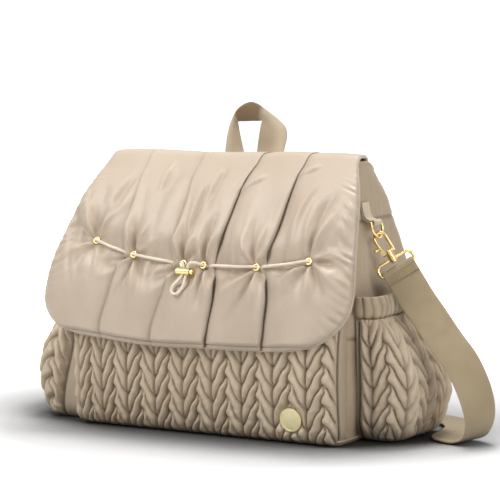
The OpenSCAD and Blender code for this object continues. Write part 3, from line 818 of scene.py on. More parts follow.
def eyelet_folds(dx, dz, folds):
    """Height of the folds of one eyelet at a place dx across and dz above it."""
    height = 0.0
    for turn, length, high in folds:
        a = radians(turn)
        along = dx * cos(a) + dz * sin(a)
        end = 1.25 * length
        if 0 < along < end:
            across = dz * cos(a) - dx * sin(a) + 0.0035 * along * along
            wide = 1.6 + 0.11 * along
            if abs(across) < 2.5 * wide:
                fade = 1 - ease(0.3 * length, end, along)
                height += FOLD_HIGH * high * bell(across, wide) * ease(1, 9, along) * fade
    return height


# Longer soft folds on the upper panels: both ends (across and up), width, and height (or depth, below zero)
SOFT_FOLDS = (
    ((-77, 288), (-79, 250), 3.6, 3.4),
    ((-64, 276), (-70, 236), 6.5, -2.0),
    ((-22, 252), (-24, 208), 3.4, -4.4),
    ((-8, 280), (-12, 236), 4.2, -3.4),
    ((44, 270), (20, 251), 4.5, 4.0),
    ((106, 291), (86, 275), 5.0, 3.6),
    ((-120, 262), (-128, 220), 5.0, -3.4),
    ((112, 262), (100, 222), 5.0, 3.2),
)


def soft_folds(x, z):
    """Height of the longer folds at a place across and up the flap."""
    height = 0.0
    for start, end, wide, high in SOFT_FOLDS:
        run = Vector(end) - Vector(start)
        gone = Vector((x, z)) - Vector(start)
        t = gone.dot(run) / run.length_squared
        if -0.3 < t < 1.3:
            across = (gone.x * run.y - gone.y * run.x) / run.length
            height += high * bell(across, wide) * ease(-0.3, 0.35, t) * (1 - ease(0.65, 1.3, t))
    return height


def flap_wrinkles(x, z):
    """Small folds: they fan out from the eyelets, run down beside the cord and drift over the panels."""
    height = soft_folds(x, z)
    for ex, folds in zip(EYELET_XS, EYELET_FOLDS):
        dx = x - ex
        dz = z - cord_height(ex)
        away = hypot(dx, dz)
        if away < 84:
            height += eyelet_folds(dx, dz, folds) - 2.2 * bell(away, 6)
    off = z - cord_height(x)
    calm = 1 - 0.75 * ease(225, 285, z)
    height += 2.2 * creased(ripple(x, 0, off * 0.13, 13, 3.1)) * bell(off, 34)
    height += 1.3 * creased(ripple(x + 0.2 * off, 0, off * 0.17, 25, 1.7)) * bell(off, 95) * calm
    return height + 1.5 * ripple(x + 0.3 * z, 0, z - 0.3 * x, 46, 5.3) * calm


def flap_puff(g, wide_open, outer):
    """Height of a panel over its lowest point. g goes from the tucked side (0) to the lapping side (1)."""
    rise = sin(pi / 2 * clamp((g - wide_open) / 0.40)) ** 0.7
    level = rise * (1 - 0.10 * ease(0.55, 1, g))
    if outer:
        level = rise * sqrt(max(0, 1 - clamp((g - 0.62) / 0.40) ** 2.6))
    return level


def flap_swell(x, z):
    """How far the panels may puff here: held down along the cord, at the ridge and at the lower seam."""
    cinch = 1 - 0.84 * bell(z - cord_height(x), 15)
    seam = 0.45 + 0.55 * ease(-1, 9, z - FLAP_LOW_Z)
    crest = 1 - 0.86 * ease(200, 298, z)
    return PUFF_HIGH * cinch * seam * crest


def side_puckers(x, z, half):
    """Short uneven gathers along the sewn side edges, stronger on the right."""
    edge = half - abs(x)
    if edge > PUCKER_REACH:
        return 0.0
    slant = z - 0.5 * edge + 7 * ripple(0, 0, z, 22, 2)
    beat = abs(sin(pi * slant / PUCKER_PITCH)) - 0.62
    uneven = 0.25 + 1.1 * abs(ripple(0, 4, z, 17, 7))
    deep = PUCKER_DEEP[x > 0] * uneven
    return deep * beat * bell(edge - 4, 9 + 7 * uneven) * ease(100, 135, z) * (1 - 0.9 * ease(245, 280, z))


def hem_groove(z):
    """The sewn line above the lower edge."""
    return HEM_DEEP * bell(z - FLAP_LOW_Z - HEM_UP, 0.75)


def cord_room(x, z):
    """How far out the cloth may stand here, so that it stays under the cord and the stopper."""
    under_cord = CORD_ROOM + 30 * (1 - bell(z - cord_height(x), 5))
    away = hypot(x - STOPPER.x, z - STOPPER.z + 8)
    return min(under_cord, STOPPER_ROOM + 10 * ease(7, 22, away))


def panel_edges(v, left_half, right_half):
    """Where the edges of the panels run at one v, from left to right."""
    run = flap_line(v).z if v > 1 else RIDGE.z + TOP_RUN * (1 - v)
    edges = [-left_half]
    for k in range(1, PANELS):
        least = PANEL_MIN * k - left_half
        most = right_half - PANEL_MIN * (PANELS - k)
        edges.append(clamp(pleat_x(k - 1, run), least, most))
    return edges + [right_half]


def panel_share(k, f, wide_open):
    """How full panel k is at share f of its width, and how far it is tucked in there."""
    if k == MIDDLE:
        return 1 - 0.10 * ease(0.25, 0.5, abs(f - 0.5)), 0.0
    towards_lap = f if k > MIDDLE else 1 - f
    outer = k in (0, PANELS - 1)
    share = flap_puff(towards_lap, wide_open, outer)
    return share, 0.0 if outer and towards_lap > 0.7 else 1 - share


def flap_row(v):
    """The places across the flap at one v: how far across, how far out, and how much painted shade it takes
    in folds and hollows.
    """
    level = flap_line(v).z if v > 1 else TOP_LEVEL
    left_half = flap_half(v, 0)
    right_half = flap_half(v, 1)
    low = CLOTH_LOW if v > 1 else 0.8 + 1.8 * ease(0, 0.3, v) + 0.4 * v
    fade = 1 if v > 1 else 0.1 + 0.9 * ease(0, 1, v)
    lap = LAP_MM * at_table(LAP, level) * fade
    edges = panel_edges(v, left_half, right_half)
    stand = TUCK_STAND * fade * (1 - 0.5 * ease(250, TOP_LEVEL, level))
    hem = hem_groove(level)
    row = []
    for k in range(PANELS):
        left = edges[k] - (lap * 0.25 if k > MIDDLE else 0)
        right = edges[k + 1] + (lap * 0.25 if k < MIDDLE else 0)
        wide_open = at_table(OPEN, level) * fade / (right - left) if k > MIDDLE else 0.0
        for j in range(PANEL_COLUMNS + 1):
            f = j / PANEL_COLUMNS
            x = left + (right - left) * f
            share, tuck = panel_share(k, f, wide_open)
            fuss = flap_wrinkles(x, level) * fade
            gather = side_puckers(x, level, left_half if x < 0 else right_half) * fade
            puff = flap_swell(x, level) * fade * share
            out = low + stand + puff + fuss * (0.35 + 0.65 * share) + gather - hem
            # Painted shade on the tucked side of each pleat, in the valleys of the wrinkles and in the sewn
            # hem line
            deep = 0.42 * tuck ** 2.5 + 0.12 * clamp(-(fuss + gather) / 2.5) + 0.22 * hem
            row.append([x, max(low, min(out, cord_room(x, level))), clamp(deep)])
        if k < PANELS - 1:
            row.append(("fold", edges[k + 1], 1 if k >= MIDDLE else -1, lap))
    return settle_folds(row, low)


def settle_folds(row, low):
    """Fills in the places round each fold, from the heights on its two sides, with painted shade deepest in
    the recess under the fold.
    """
    done = []
    for i, place in enumerate(row):
        if place[0] != "fold":
            done.append(place)
            continue
        line, turn, lap = place[1:4]
        before = row[i - 1]
        after = row[i + 1]
        top, tuck = (before, after) if turn > 0 else (after, before)
        rounds = FOLD_ROUND if turn > 0 else tuple(reversed(FOLD_ROUND))
        for reach, up in rounds:
            out = tuck[1] + (top[1] - tuck[1]) * up
            # Painted shade grows into the recess under the fold
            done.append([line + turn * lap * reach, max(low, out), clamp(0.1 + 1.1 * (1 - up))])
    return done


def flap_spine(v):
    """The flap's line with its ridge rounded over."""
    share = ease(0.3, 0.6, v) * (1 - ease(1.2, 1.5, v))
    steps = [flap_line(clamp(v + share * d, 0, 2)) for d in RIDGE_ROUND]
    return sum(steps, Vector((0, 0, 0))) / len(steps)


def ridge_dip(x, v):
    """The ridge hangs a little lower towards the left, and stands a little higher on the right."""
    dip = 5.0 * (1 - ease(-70, 90, x)) + 2.5 * (1 - ease(-160, -110, x)) - 2.6 * ease(-30, 140, x)
    return dip * ease(0.02, 0.5, v) * (1 - ease(1.05, 1.45, v))


def flap_at(x, v, off):
    line = flap_spine(v)
    along = flap_spine(min(2, v + 0.02)) - flap_spine(max(0, v - 0.02))
    out = Vector((0, along.z, -along.y)).normalized()
    return Vector((x, line.y + off * out.y, line.z + off * out.z - ridge_dip(x, v)))


def front_v(z):
    return 1 + (RIDGE.z - z) / (RIDGE.z - FLAP_LOW_Z)


def hung(x, v):
    """Draws the rows near the lower edge up to where that edge hangs."""
    return v - (flap_low(x) - FLAP_LOW_Z) / (RIDGE.z - FLAP_LOW_Z) * ease(1.6, 2.0, v)


# How far the underside of the flap lies from its line
UNDERSIDE = 0.2


def make_flap():
    rows = [i / TOP_ROWS for i in range(TOP_ROWS)]
    rows += [1 + (HEM_V - 1) * i / FRONT_ROWS for i in range(FRONT_ROWS)]
    rows += [HEM_V + (2 - HEM_V) * i / HEM_ROWS for i in range(HEM_ROWS + 1)]
    outer = []
    inner = []
    folds = []
    for v in rows:
        row = flap_row(v)
        outer += [flap_at(x, hung(x, v), off) for x, off, fold in row]
        folds += [fold for x, off, fold in row]
        inner += [flap_at(x, hung(x, v), UNDERSIDE) for x in sorted(place[0] for place in row)]
    piece = cloth("flap_cloth", len(rows), outer, inner, folds, 0.15, PUFF)
    dress(piece, "flap", "puffed_nylon", "flap")


# The corded seam round the free edge of the flap
BINDING_R = 1.9
BINDING_OFF = 2.4
BINDING_INSET = 0.4
BINDING_V = 0.3
BINDING_STEPS = 90
HEM_STEPS = 60


def on_binding(x, v):
    return flap_at(x, hung(x, v), BINDING_OFF)


def flap_edge(right):
    """One side edge of the flap, from near its ridge down to its lower edge."""
    line = []
    for i in range(BINDING_STEPS):
        v = BINDING_V + (2 - BINDING_V) * i / (BINDING_STEPS - 1)
        half = flap_half(v, right) - BINDING_INSET
        line.append(on_binding(half if right else -half, v))
    return line


def make_flap_binding():
    down = flap_edge(False)
    up = flap_edge(True)[::-1]
    left = down[-1].x
    width = up[0].x - left
    hem = [on_binding(left + width * i / HEM_STEPS, 2) for i in range(1, HEM_STEPS)]
    dress(tube("flap_binding", down + hem + up, BINDING_R, PUFF), "flap", "puffed_nylon")


# Pockets quilted into plaits: pairs of puffed leaves that meet in a V and lap downwards

PLAIT_PITCH = 37.9
PLAIT_ROW = 22.3
PLAIT_SLOPE = 1.65
PLAIT_HIGH = 9.2
BADGE = Vector((111, 27))
# The lower edge of a pocket turns under by this much, from this height down
UNDER_DEEP = 12
UNDER_R = 18


def plait(across, z, phase=0.0):
    """Height (0 to 1) of the plaits at a place, and how deep it lies in a seam (0 to 1), which sets the
    painted shade there.
    """
    turn = across / PLAIT_PITCH + phase
    # Two columns meet in a wavy line, where the ends of their leaves push past each other
    far = ease(0.22, 0.5, abs(turn % 1.0 - 0.5))
    column = (turn + 0.055 * far * sin(2 * pi * z / PLAIT_ROW)) % 1.0 - 0.5
    a = abs(column) * 2
    lean = PLAIT_SLOPE * PLAIT_PITCH / 2
    # The leaves bend in a shallow S from their outer ends to the middle line
    axis = lean * (a - 0.07 * sin(2 * pi * a))
    place = (z - axis) / PLAIT_ROW + 0.30
    f = place - floor(place)
    # Each leaf is fullest low down, where it laps over the one below
    g = f ** 0.88
    body = max(0.0, 1 - abs(2 * g - 1) ** 2.5) ** 0.55
    ends = max(0.0, 1 - abs(2 * a - 1) ** 3.0) ** 0.45
    high = body * ends
    return high, (1 - high) ** 2.6


def plait_fuss(across, z):
    return 0.75 * ripple(across, 0, z, 8, 4.2) + 0.5 * ripple(across, 0, z, 4.2, 9.1)


def pocket_section(z):
    """The front pocket at a height, from its left back edge round the front to the right back edge."""
    half = POCKET_W / 2
    front = pocket_y(z)
    back = front_y(z) - SEAM_GAP
    r = POCKET_R
    near = front + r
    places = straight((-half, back), (-half, near), TO_LEFT, 7) + corner(-half + r, near, r, pi, 24)
    places += straight((-half + r, front), (half - r, front), TO_FRONT, 330)
    places += corner(half - r, near, r, -pi / 2, 24) + straight((half, near), (half, back), TO_RIGHT, 7)
    return places + [(half, back, TO_RIGHT)]


def run_along(places):
    """How far along a row of places each of them lies."""
    far = [0.0]
    for (ax, ay, a_out), (bx, by, b_out) in zip(places, places[1:]):
        far.append(far[-1] + hypot(bx - ax, by - ay))
    return far


# The ground between the plaits lies this far in, and a plain strip ends in a sewn line this deep and wide
QUILT_SINK = 3.4
QUILT_T = 4.4
STRIP_SEAM = 1.8
# The plaits are pressed flat round the badge
BADGE_FLAT_R = 10
BADGE_EASE_R = 20
BADGE_SINK = 1.2


def quilted(name, rows, section, phase, rim, plain, columns, push):
    """A quilted wall with an inside face: section(z) gives the places round it at a height.

    columns turns how far round a place lies, and the whole length, into its place across the plaits, which
    phase shifts. rim fades the plaits at the top and bottom, plain says how much is left without plaits at
    the two ends, and push how far the wall stands out. The lower edge turns under.
    """
    outer = []
    inner = []
    folds = []
    for z in rows:
        places = section(z)
        under = UNDER_DEEP * (1 - sqrt(1 - clamp((UNDER_R - z) / UNDER_R) ** 2))
        first, last = plain(z)
        along = run_along(places)
        for (x, y, out), s in zip(places, along):
            left = along[-1] - s
            across = columns(s, along[-1])
            high, deep = plait(across, z, phase)
            hold = min(ease(first, first + 8, s), ease(last, last + 8, left)) * rim(z)
            seams = [bell(far - strip, STRIP_SEAM) for far, strip in ((s, first), (left, last)) if strip]
            seam = max(seams, default=0)
            lift = (PLAIT_HIGH * high + plait_fuss(across, z) * high - QUILT_SINK) * hold
            if y < -FRONT_D:
                near = hypot(x - BADGE.x, z - BADGE.y)
                lift -= (1 - ease(BADGE_FLAT_R, BADGE_EASE_R, near)) * max(0, lift + BADGE_SINK)
            lift += push(x, y, z) - STRIP_SEAM * seam - under
            outer.append(Vector((x, y, z)) + out * lift)
            inner.append(Vector((x, y, z)) - out * (QUILT_T + under))
            # Painted shade in the seams between the plaits and in the sewn lines, and a little over the plain
            # strips
            folds.append(clamp(deep * hold + 0.9 * seam + (0.16 if s < first or left < last else 0)))
    return cloth(name, len(rows), outer, inner, folds, 0.3, QUILT)


def even_rows(low, high, step):
    count = ceil((high - low) / step)
    return [low + (high - low) * i / count for i in range(count + 1)]


# How far the columns of the front pocket stand to the right of an even pitch, against the place across
POCKET_DRIFT = ((-165, 23), (-150, 21), (-126, 12.7), (-95, 7), (-59, 4.7), (-23, 2.5), (13, 0.9), (51, 0),
                (90, 1.3), (131, 4.2), (165, 6.5))


def make_front_pocket():
    def rim(z):
        return ease(-3, 5, z) * (1 - ease(138, POCKET_H, z))

    def plain(z):
        wall = front_y(z) - SEAM_GAP - pocket_y(z) - 9
        return wall, wall

    def columns(s, length):
        across = s - length / 2
        return across - at_table(POCKET_DRIFT, across)

    def push(x, y, z):
        return 0.0

    rows = even_rows(0.8, POCKET_H, 1.15)
    pocket = quilted("front_pocket_plaits", rows, pocket_section, 0.18, rim, plain, columns, push)
    dress(pocket, "bag", "quilted_nylon", "front_pocket")


def side_slant(side, z):
    """Towards the base the front of the right pocket runs back, and the left one, fuller, comes forward."""
    if side < 0:
        return -11 * (1 - ease(30, 122, z))
    return 13 * (1 - ease(0, 120, z)) + 8 * (1 - ease(0, 26, z))


def side_section(side, z):
    """The places round a side pocket, from the front seam on the body to the back seam."""
    body = half_w(z) + SEAM_GAP
    reach = side_reach(z)
    front = side_slant(side, z) - SIDE_FRONT_D
    back = SIDE_BACK_D
    r = max(6, min(reach - 7, SIDE_CORNER_R))
    far = half_w(z) + reach
    turn = far - r
    places = straight((body, front), (turn, front), TO_FRONT, 36) + corner(turn, front + r, r, -pi / 2, 40)
    places += straight((far, front + r), (far, back - r), TO_RIGHT, 80) + corner(turn, back - r, r, 0, 40)
    places += straight((turn, back), (body, back), TO_BACK, 24) + [(body, back, TO_BACK)]
    return [(side * x, y, Vector((side * out.x, out.y, 0))) for x, y, out in places]


# The plaits of a side pocket: the length they are laid out over, and where their first column starts
SIDE_QUILT_LEN = 205
SIDE_QUILT_START = 19


def make_side_pocket(side, word):
    def section(z):
        return side_section(side, z)

    def rim(z):
        return ease(-3, 6, z) * (1 - 0.65 * ease(116, SIDE_H, z))

    def plain(z):
        # A plain strip shows in front of the left pocket, and narrows upwards
        return (3, 0) if side > 0 else (31 - 14 * ease(0, 90, z), 0)

    def columns(s, length):
        return s * (SIDE_QUILT_LEN / length) - SIDE_QUILT_START

    def push(x, y, z):
        # The left pocket is the fuller one, low down and towards the front
        if side > 0:
            return 0.0
        return 3 * ease(180, 200, abs(x)) * (1 - ease(0, 40, y)) * (1 - ease(60, 130, z))

    rows = even_rows(0.6, SIDE_H, 1.3)
    pocket = quilted("side_pocket_plaits_" + word, rows, section, 0.5, rim, plain, columns, push)
    dress(pocket, "bag", "quilted_nylon", "side_pocket_" + word)


ELASTIC_PITCH = 9.5
ELASTIC_T = 3.2


def make_elastic_band(side, word):
    """A casing gathered over elastic: plump upright folds between two pinched edges."""
    outer = []
    inner = []
    folds = []
    rows = even_rows(SIDE_H - 3, SIDE_H + BAND_H, 1.2)
    for z in rows:
        places = side_section(side, z)
        rise = clamp((z - SIDE_H) / BAND_H)
        pinch = bell(z - SIDE_H, 2.4)
        belly = 3.0 * sin(pi * rise) ** 0.7 - 1.4 * pinch
        for (x, y, out), s in zip(places, run_along(places)):
            beat = s / ELASTIC_PITCH + 0.9 * ripple(s, 0, 0, 22, 6) + 0.25 * ripple(s, 0, z, 14, 3)
            lobe = abs(sin(pi * beat)) ** 0.6
            strong = clamp(0.75 + 0.7 * ripple(s, 0, z * 0.4, 13, 9))
            lift = belly + 3.0 * (lobe - 0.75) * strong + 0.5 * ripple(s, 0, z, 6, 2)
            outer.append(Vector((x, y, z)) + out * lift)
            inner.append(Vector((x, y, z)) - out * ELASTIC_T)
            # Painted shade between the upright folds and along the pinched lower edge
            folds.append(clamp(0.85 * (1 - lobe) * strong + 0.7 * pinch))
    piece = cloth("elastic_casing_" + word, len(rows), outer, inner, folds, 0.3, PLAIN)
    dress(piece, "bag", "nylon", "elastic_band_" + word)


# Body, lining, base and back


def body_section(z, inset, fine=1.0):
    """A level ring round the body from the left end of its front, with outward directions."""
    counts = [int(count * fine) for count in (110, 64, 14)]
    ring = rounded_ring(half_w(z) - inset, front_y(z) + inset, back_y(z) - inset, CORNER_R - inset, *counts)
    return [(Vector((x, y, z)), out) for x, y, out in ring]


# Heights of the sewn joins across the side panels
SIDE_SEAMS = (114, 236)


def winged(place):
    """Lifts the tops of the side panels up to the flap, and fills out the upper back corners."""
    v = clamp((HINGE.y - place.y) / (HINGE.y - RIDGE.y))
    room = flap_at(place.x, v, 0).z - BODY_H - 3.4
    rise = max(0, room) * ease(108, 134, abs(place.x)) * ease(BODY_H - 45, BODY_H, place.z)
    full = 7 * ease(110, 140, abs(place.x)) * ease(-10, 25, place.y) * bell(place.z - 264, 24)
    return place + Vector((full if place.x > 0 else -full, 0, rise))


def body_lift(place, out):
    """How the cloth of the body stands: soft folds, and the sewn joins across the side panels."""
    x, y, z = place
    lift = 1.5 * ripple(x + y, y, z * 0.7, 44, 1.3) + 0.5 * ripple(x + 2 * y, y, z * 0.6, 17, 7.7)
    folds = abs(out.x) * 1.2 * ripple(0, y * 1.0 + 0.25 * z, z * 0.22, 17, 2.4 if x > 0 else 8.1)
    folds *= ease(150, 190, z)
    lift += folds
    seam = 0.0
    for level in SIDE_SEAMS:
        near = abs(out.x) * bell(z - level - 1.5 * ripple(0, y, 0, 40, 3), 1.9)
        lift -= 1.7 * near
        seam = max(seam, near)
    rim = 1 - ease(BODY_H - 14, BODY_H, z)
    return max(lift * rim - 0.6, -2.4), seam


# Thickness of the body's cloth, where the lining lies and its thickness, and the radius of the rim's binding
BODY_CLOTH_T = 3.0
LINING_INSET = 5.6
LINING_T = 0.8
RIM_R = 2.6


def wall_faces(rows, around, *levels):
    """Two pipes, one after the other, joined at some of their levels."""
    inner = rows * around
    faces = pipe_faces(rows, around) + pipe_faces(rows, around, inner)
    for level in levels:
        faces += ring_faces(level * around, level * around + inner, around)
    return faces


def make_body():
    outer = []
    inner = []
    folds = []
    rows = even_rows(4.2, BODY_H, 2.2)
    for z in rows:
        for place, out in body_section(z, 0):
            lift, seam = body_lift(place, out)
            outer.append(winged(place + out * lift))
            # Painted shade in the sewn joins across the side panels
            folds.append(0.8 * seam)
        inner += [winged(place) for place, out in body_section(z, BODY_CLOTH_T)]
    around = len(outer) // len(rows)
    faces = wall_faces(len(rows), around, 0, len(rows) - 1)
    piece = mesh_piece("body_cloth", outer + inner, faces, PLAIN)
    # Painted shade in the joins, and evenly over the inside face
    painted_shade_map(piece, folds + [0.2] * len(inner))
    dress(piece, "bag", "nylon", "main_body")


def make_lining():
    """The inside of the body, with a floor, seen when the flap is up."""
    inside = []
    outside = []
    rows = even_rows(10, BODY_H - 0.4, 4.4)
    for z in rows:
        for place, out in body_section(z, LINING_INSET, 0.5):
            inside.append(winged(place - out * (0.5 + 0.4 * ripple(place.x, place.y, z, 30, 4))))
            outside.append(winged(place + out * LINING_T))
    around = len(inside) // len(rows)
    for p in outside[:around]:
        p.z -= LINING_T
    points = inside + outside
    faces = wall_faces(len(rows), around, len(rows) - 1)
    faces += [tuple(range(start, start + around)) for start in (0, len(inside))]
    piece = mesh_piece("lining_cloth", points, faces, LINING)
    # Painted shade, growing towards the bottom of the inside
    painted_shade_map(piece, [0.5 * (1 - ease(0, 120, p.z)) for p in points])
    dress(piece, "bag", "nylon")


def make_rim():
    line = [winged(place) for place, out in body_section(BODY_H - 1.2, RIM_R, 0.6)]
    dress(tube("rim_binding", line, RIM_R, PLAIN, closed=True), "bag", "nylon")


BASE_FRONT = -85.4
BASE_BACK = 85
BASE_R = 9
# The pocket turns under in front of the base by this much
BASE_HIDE = 6
# The rounded edge of the base: height, and how far in
BASE_LAYERS = ((0.0, 30), (0.0, 3.0), (0.5, 1.0), (1.6, 0.1), (2.6, 0.1), (3.5, 1.0), (4.0, 3.0), (4.0, 30))
PIPING_Z = 4.4
PIPING_R = 1.7


def make_base():
    """A thin padded base with rounded edges, and the corded seam round it."""
    ring = rounded_ring(BASE_W / 2, BASE_FRONT + BASE_HIDE, BASE_BACK, BASE_R, 1, 1, 12)
    outline = ring[1:] + ring[:1]
    points = []
    for z, inset in BASE_LAYERS:
        points += [Vector((x, y, z)) - out * inset for x, y, out in outline]
    piece = mesh_piece("base_cloth", points, rod_faces(len(BASE_LAYERS), len(outline)), PLAIN)
    # Darker all over, through the painted shade layer
    painted_shade_map(piece, [0.35] * len(points))
    dress(piece, "bag", "nylon", "base_panel")
    line = [Vector((x, y, PIPING_Z)) + out * 0.2 for x, y, out in outline]
    dress(tube("base_piping", line, PIPING_R, PLAIN, closed=True), "bag", "nylon")


BACK_W = 250
BACK_LOW_Z = 24
BACK_HIGH_Z = BODY_H - 3
BACK_COLUMNS = 110
# Two sewn lines part the pad in three, this far from its middle
BACK_LINE_X = 42
BACK_BORDER = 14


def make_back_panel():
    """A padded panel, crowned between its edges."""
    rows = even_rows(BACK_LOW_Z, BACK_HIGH_Z, 2.4)
    outer = []
    inner = []
    folds = []
    for z in rows:
        y = back_y(z) + SEAM_GAP
        for k in range(BACK_COLUMNS + 1):
            x = BACK_W / 2 * (2 * k / BACK_COLUMNS - 1)
            edge = min(BACK_W / 2 - abs(x), z - BACK_LOW_Z, BACK_HIGH_Z - z)
            crown = sqrt(clamp(1 - (1 - clamp(edge / 13)) ** 2))
            line = bell(abs(x) - BACK_LINE_X, 2.6) * ease(18, 30, edge)
            border = bell(edge - BACK_BORDER, 1.8)
            lift = 2.2 + 7.2 * crown * (1 - 0.42 * line) - 1.7 * border + 0.7 * ripple(x, 0, z, 30, 2)
            outer.append(Vector((x, y + lift, z)))
            inner.append(Vector((x, y - 0.6, z)))
            # Painted shade in the two sewn lines and along the sunken border
            folds.append(clamp(0.7 * line + 0.7 * border))
    piece = cloth("back_pad", len(rows), outer, inner, folds, 0.2, PLAIN)
    dress(piece, "bag", "nylon", "back_panel")


# Haul loop, tabs and strap ends

LOOP_X = -9
LOOP_Y = 42.4
LOOP_Z = 284.4
# Outer and inner edge of the loop: across, back and up from the middle of its foot
LOOP_OUTER = ((-40, 0, -1.5), (-39, 0, 14), (-36, -1, 30), (-31, -3, 44), (-23, -6, 57), (-13, -8, 65),
              (-2, -9, 69), (7, -8, 67), (15, -3, 60.5), (26, 3, 51), (34, 6, 42), (36, 6, 31), (34, 3, 16),
              (32, 0, -1.5))
LOOP_INNER = ((-13, 0, -1.5), (-16, 0, 14), (-20, 1, 28), (-24, 3, 39), (-26.5, 6, 45), (-19, 8, 45.6),
              (-10, 9, 46.4), (-2, 8, 46.9), (4.4, 6, 47.2), (4.8, 3, 43), (4.2, 1, 36), (3, 0, 26),
              (1.5, 0, 14), (0.5, 0, -1.5))
LOOP_STEPS = 6
LOOP_COLUMNS = 14
LOOP_BELLY = 2.2


def make_haul_loop():
    outer_edge = smooth_through([Vector(p) for p in LOOP_OUTER], LOOP_STEPS)
    inner_edge = smooth_through([Vector(p) for p in LOOP_INNER], LOOP_STEPS)
    foot = Vector((LOOP_X, LOOP_Y, LOOP_Z))
    shares = [k / LOOP_COLUMNS for k in range(LOOP_COLUMNS + 1)]
    sheet = []
    for a, b in zip(outer_edge, inner_edge):
        sheet.append([a + (b - a) * t + Vector((0, -LOOP_BELLY * sin(pi * t), 0)) + foot for t in shares])
    gone = gone_along([(a + b) / 2 for a, b in zip(outer_edge, inner_edge)])
    front = []
    back = []
    marks = []
    shades = []
    for i, row in enumerate(sheet):
        # Painted shade: deep round the underside of the top, which faces down, and milder along the rest of
        # the loop away from its outer edge
        turn = i / LOOP_STEPS
        top = ease(3.5, 4.3, turn) * (1 - ease(7.1, 7.9, turn))
        side = 0.45 * ease(0, 2, min(turn, len(LOOP_OUTER) - 1 - turn))
        for k, (place, t) in enumerate(zip(row, shares)):
            along = sheet[min(i + 1, len(sheet) - 1)][k] - sheet[max(i - 1, 0)][k]
            across = row[min(k + 1, LOOP_COLUMNS)] - row[max(k - 1, 0)]
            out = along.cross(across).normalized() * (1.1 if 0 < t < 1 else 0.6)
            front.append(place + out)
            back.append(place - out)
            marks.append((across.length * LOOP_COLUMNS / 2 * t * MM, gone[i] * MM))
            shades.append(max(0.9 * top, side * ease(0.1, 0.6, t)))
    faces = shell_faces(len(sheet), len(shares))
    piece = mesh_piece("haul_loop_webbing", front + back, faces, LOOP_WEB)
    lay_uv(piece, marks + marks)
    painted_shade_map(piece, shades + shades)
    dress(piece, "carry_handle", "webbing", "carry_handle")


TAB_Z = 238
TAB_W = 16
TAB_T = 1.5
TAB_LEN = 18
TAB_ARM = 12
TAB_DROOP = radians(35)
RING_Y = -8
RING_WIRE = 3.2
RUN_GAP = 0.3


def make_ring_tab(side, word):
    """Doubled webbing: sewn on the side of the body, turned round the bar of the ring and back."""
    middle = TAB_Z + TAB_LEN / 2
    slope = atan2(half_w(middle - 1) - half_w(middle + 1), 2)
    foot = half_w(middle) + SEAM_GAP + TAB_LEN / 2 * sin(slope) / cos(slope)
    roll = Vector((TAB_T + TAB_ARM * cos(TAB_DROOP), TAB_T - TAB_ARM * sin(TAB_DROOP)))
    r = RING_WIRE / 2 + RUN_GAP + TAB_T / 2
    down = Vector((cos(TAB_DROOP), -sin(TAB_DROOP)))
    up = Vector((sin(TAB_DROOP), cos(TAB_DROOP)))
    arm = Vector((TAB_T, 0.9))
    line = [Vector((TAB_T * 0.5, TAB_LEN)), Vector((TAB_T * 0.5, TAB_LEN / 2)), Vector((TAB_T * 0.6, TAB_T))]
    line += [arm + down * far - up * (TAB_T * 0.55) for far in (2.5, 5.5, 8)]
    for k in range(11):
        a = -TAB_DROOP - pi * 0.62 + pi * 1.24 * k / 10
        line.append(roll + r * Vector((cos(a), sin(a))))
    line += [arm + down * far + up * (TAB_T * 0.75) for far in (8, 5.5, 3)]
    line += [Vector((TAB_T * 1.9, TAB_T * 2.4))]
    line += [Vector((TAB_T * 1.6, TAB_LEN / 2)), Vector((TAB_T * 1.6, TAB_LEN))]
    placed = []
    for p in line:
        x = p.x * cos(slope) - p.y * sin(slope)
        z = p.x * sin(slope) + p.y * cos(slope)
        placed.append(Vector((side * (foot + x), RING_Y, TAB_Z + z)))
    placed = smooth_through(placed, 3)
    piece = band("ring_tab_webbing_" + word, placed, [TO_BACK] * len(placed), TAB_W, TAB_T, LOOP_WEB)
    dress(piece, "bag", "webbing", "d_ring_tab_" + word)


LOOP_DROP = 14
LOOP_WIRE = 3.4
TAIL_LEN = 12
# Rows of stitches on a strap end, from the bar of the ring
END_STITCHES = (4.5, 6.5, 9.5, 11.5)


def make_strap_end(side, word):
    """The strap's end: round the bar of its ring, then down on itself."""
    def placed(points):
        return [mirrored(p) for p in points] if side < 0 else points

    out = PULL.cross(FACE).normalized()
    bar = SWIVEL + PULL * LOOP_DROP
    r = LOOP_WIRE / 2 + RUN_GAP + STRAP_T / 2
    tail = bar + PULL * (TAIL_LEN + 0.2)
    neck = bar + PULL * 7
    line = [tail + out * (STRAP_T * 0.5), neck + out * (STRAP_T * 0.55)]
    for k in range(15):
        a = -0.32 * pi + 1.64 * pi * k / 14
        line.append(bar + r * (cos(a) * out - sin(a) * PULL))
    line += [neck - out * (STRAP_T * 0.55), tail - out * (STRAP_T * 0.5)]
    line = smooth_through(placed(line), 3)
    wides = placed([FACE]) * len(line)
    piece = band("strap_end_webbing_" + word, line, wides, STRAP_W, STRAP_T * 0.9, WEB)
    dress(piece, "bag", "webbing", "strap_end_" + word)
    for row, far in enumerate(END_STITCHES):
        for face, mark in ((-1, "b"), (1, "a")):
            middle = bar + PULL * far + out * (face * STRAP_T * 0.96)
            across = placed([middle + FACE * (STRAP_W / 2 - 2.5) * (k / 10 - 1) for k in range(21)])
            up = placed([out * face])[0].normalized()
            stitches = stitch_row("strap_stitches_%s_%d%s" % (word, row, mark), across, up)
            dress(stitches, "bag", "webbing")


# Drawcord

STOPPER = Vector((-21, -92.426, 178.714))
STOPPER_TILT = radians(-19.6)
CORD_SIDE = 2.4
EYELET_ROLL = 2.4
CORD_LIFT = EYELET_ROLL / 2 + RUN_GAP + CORD_D / 2
CORD_AROUND = 12
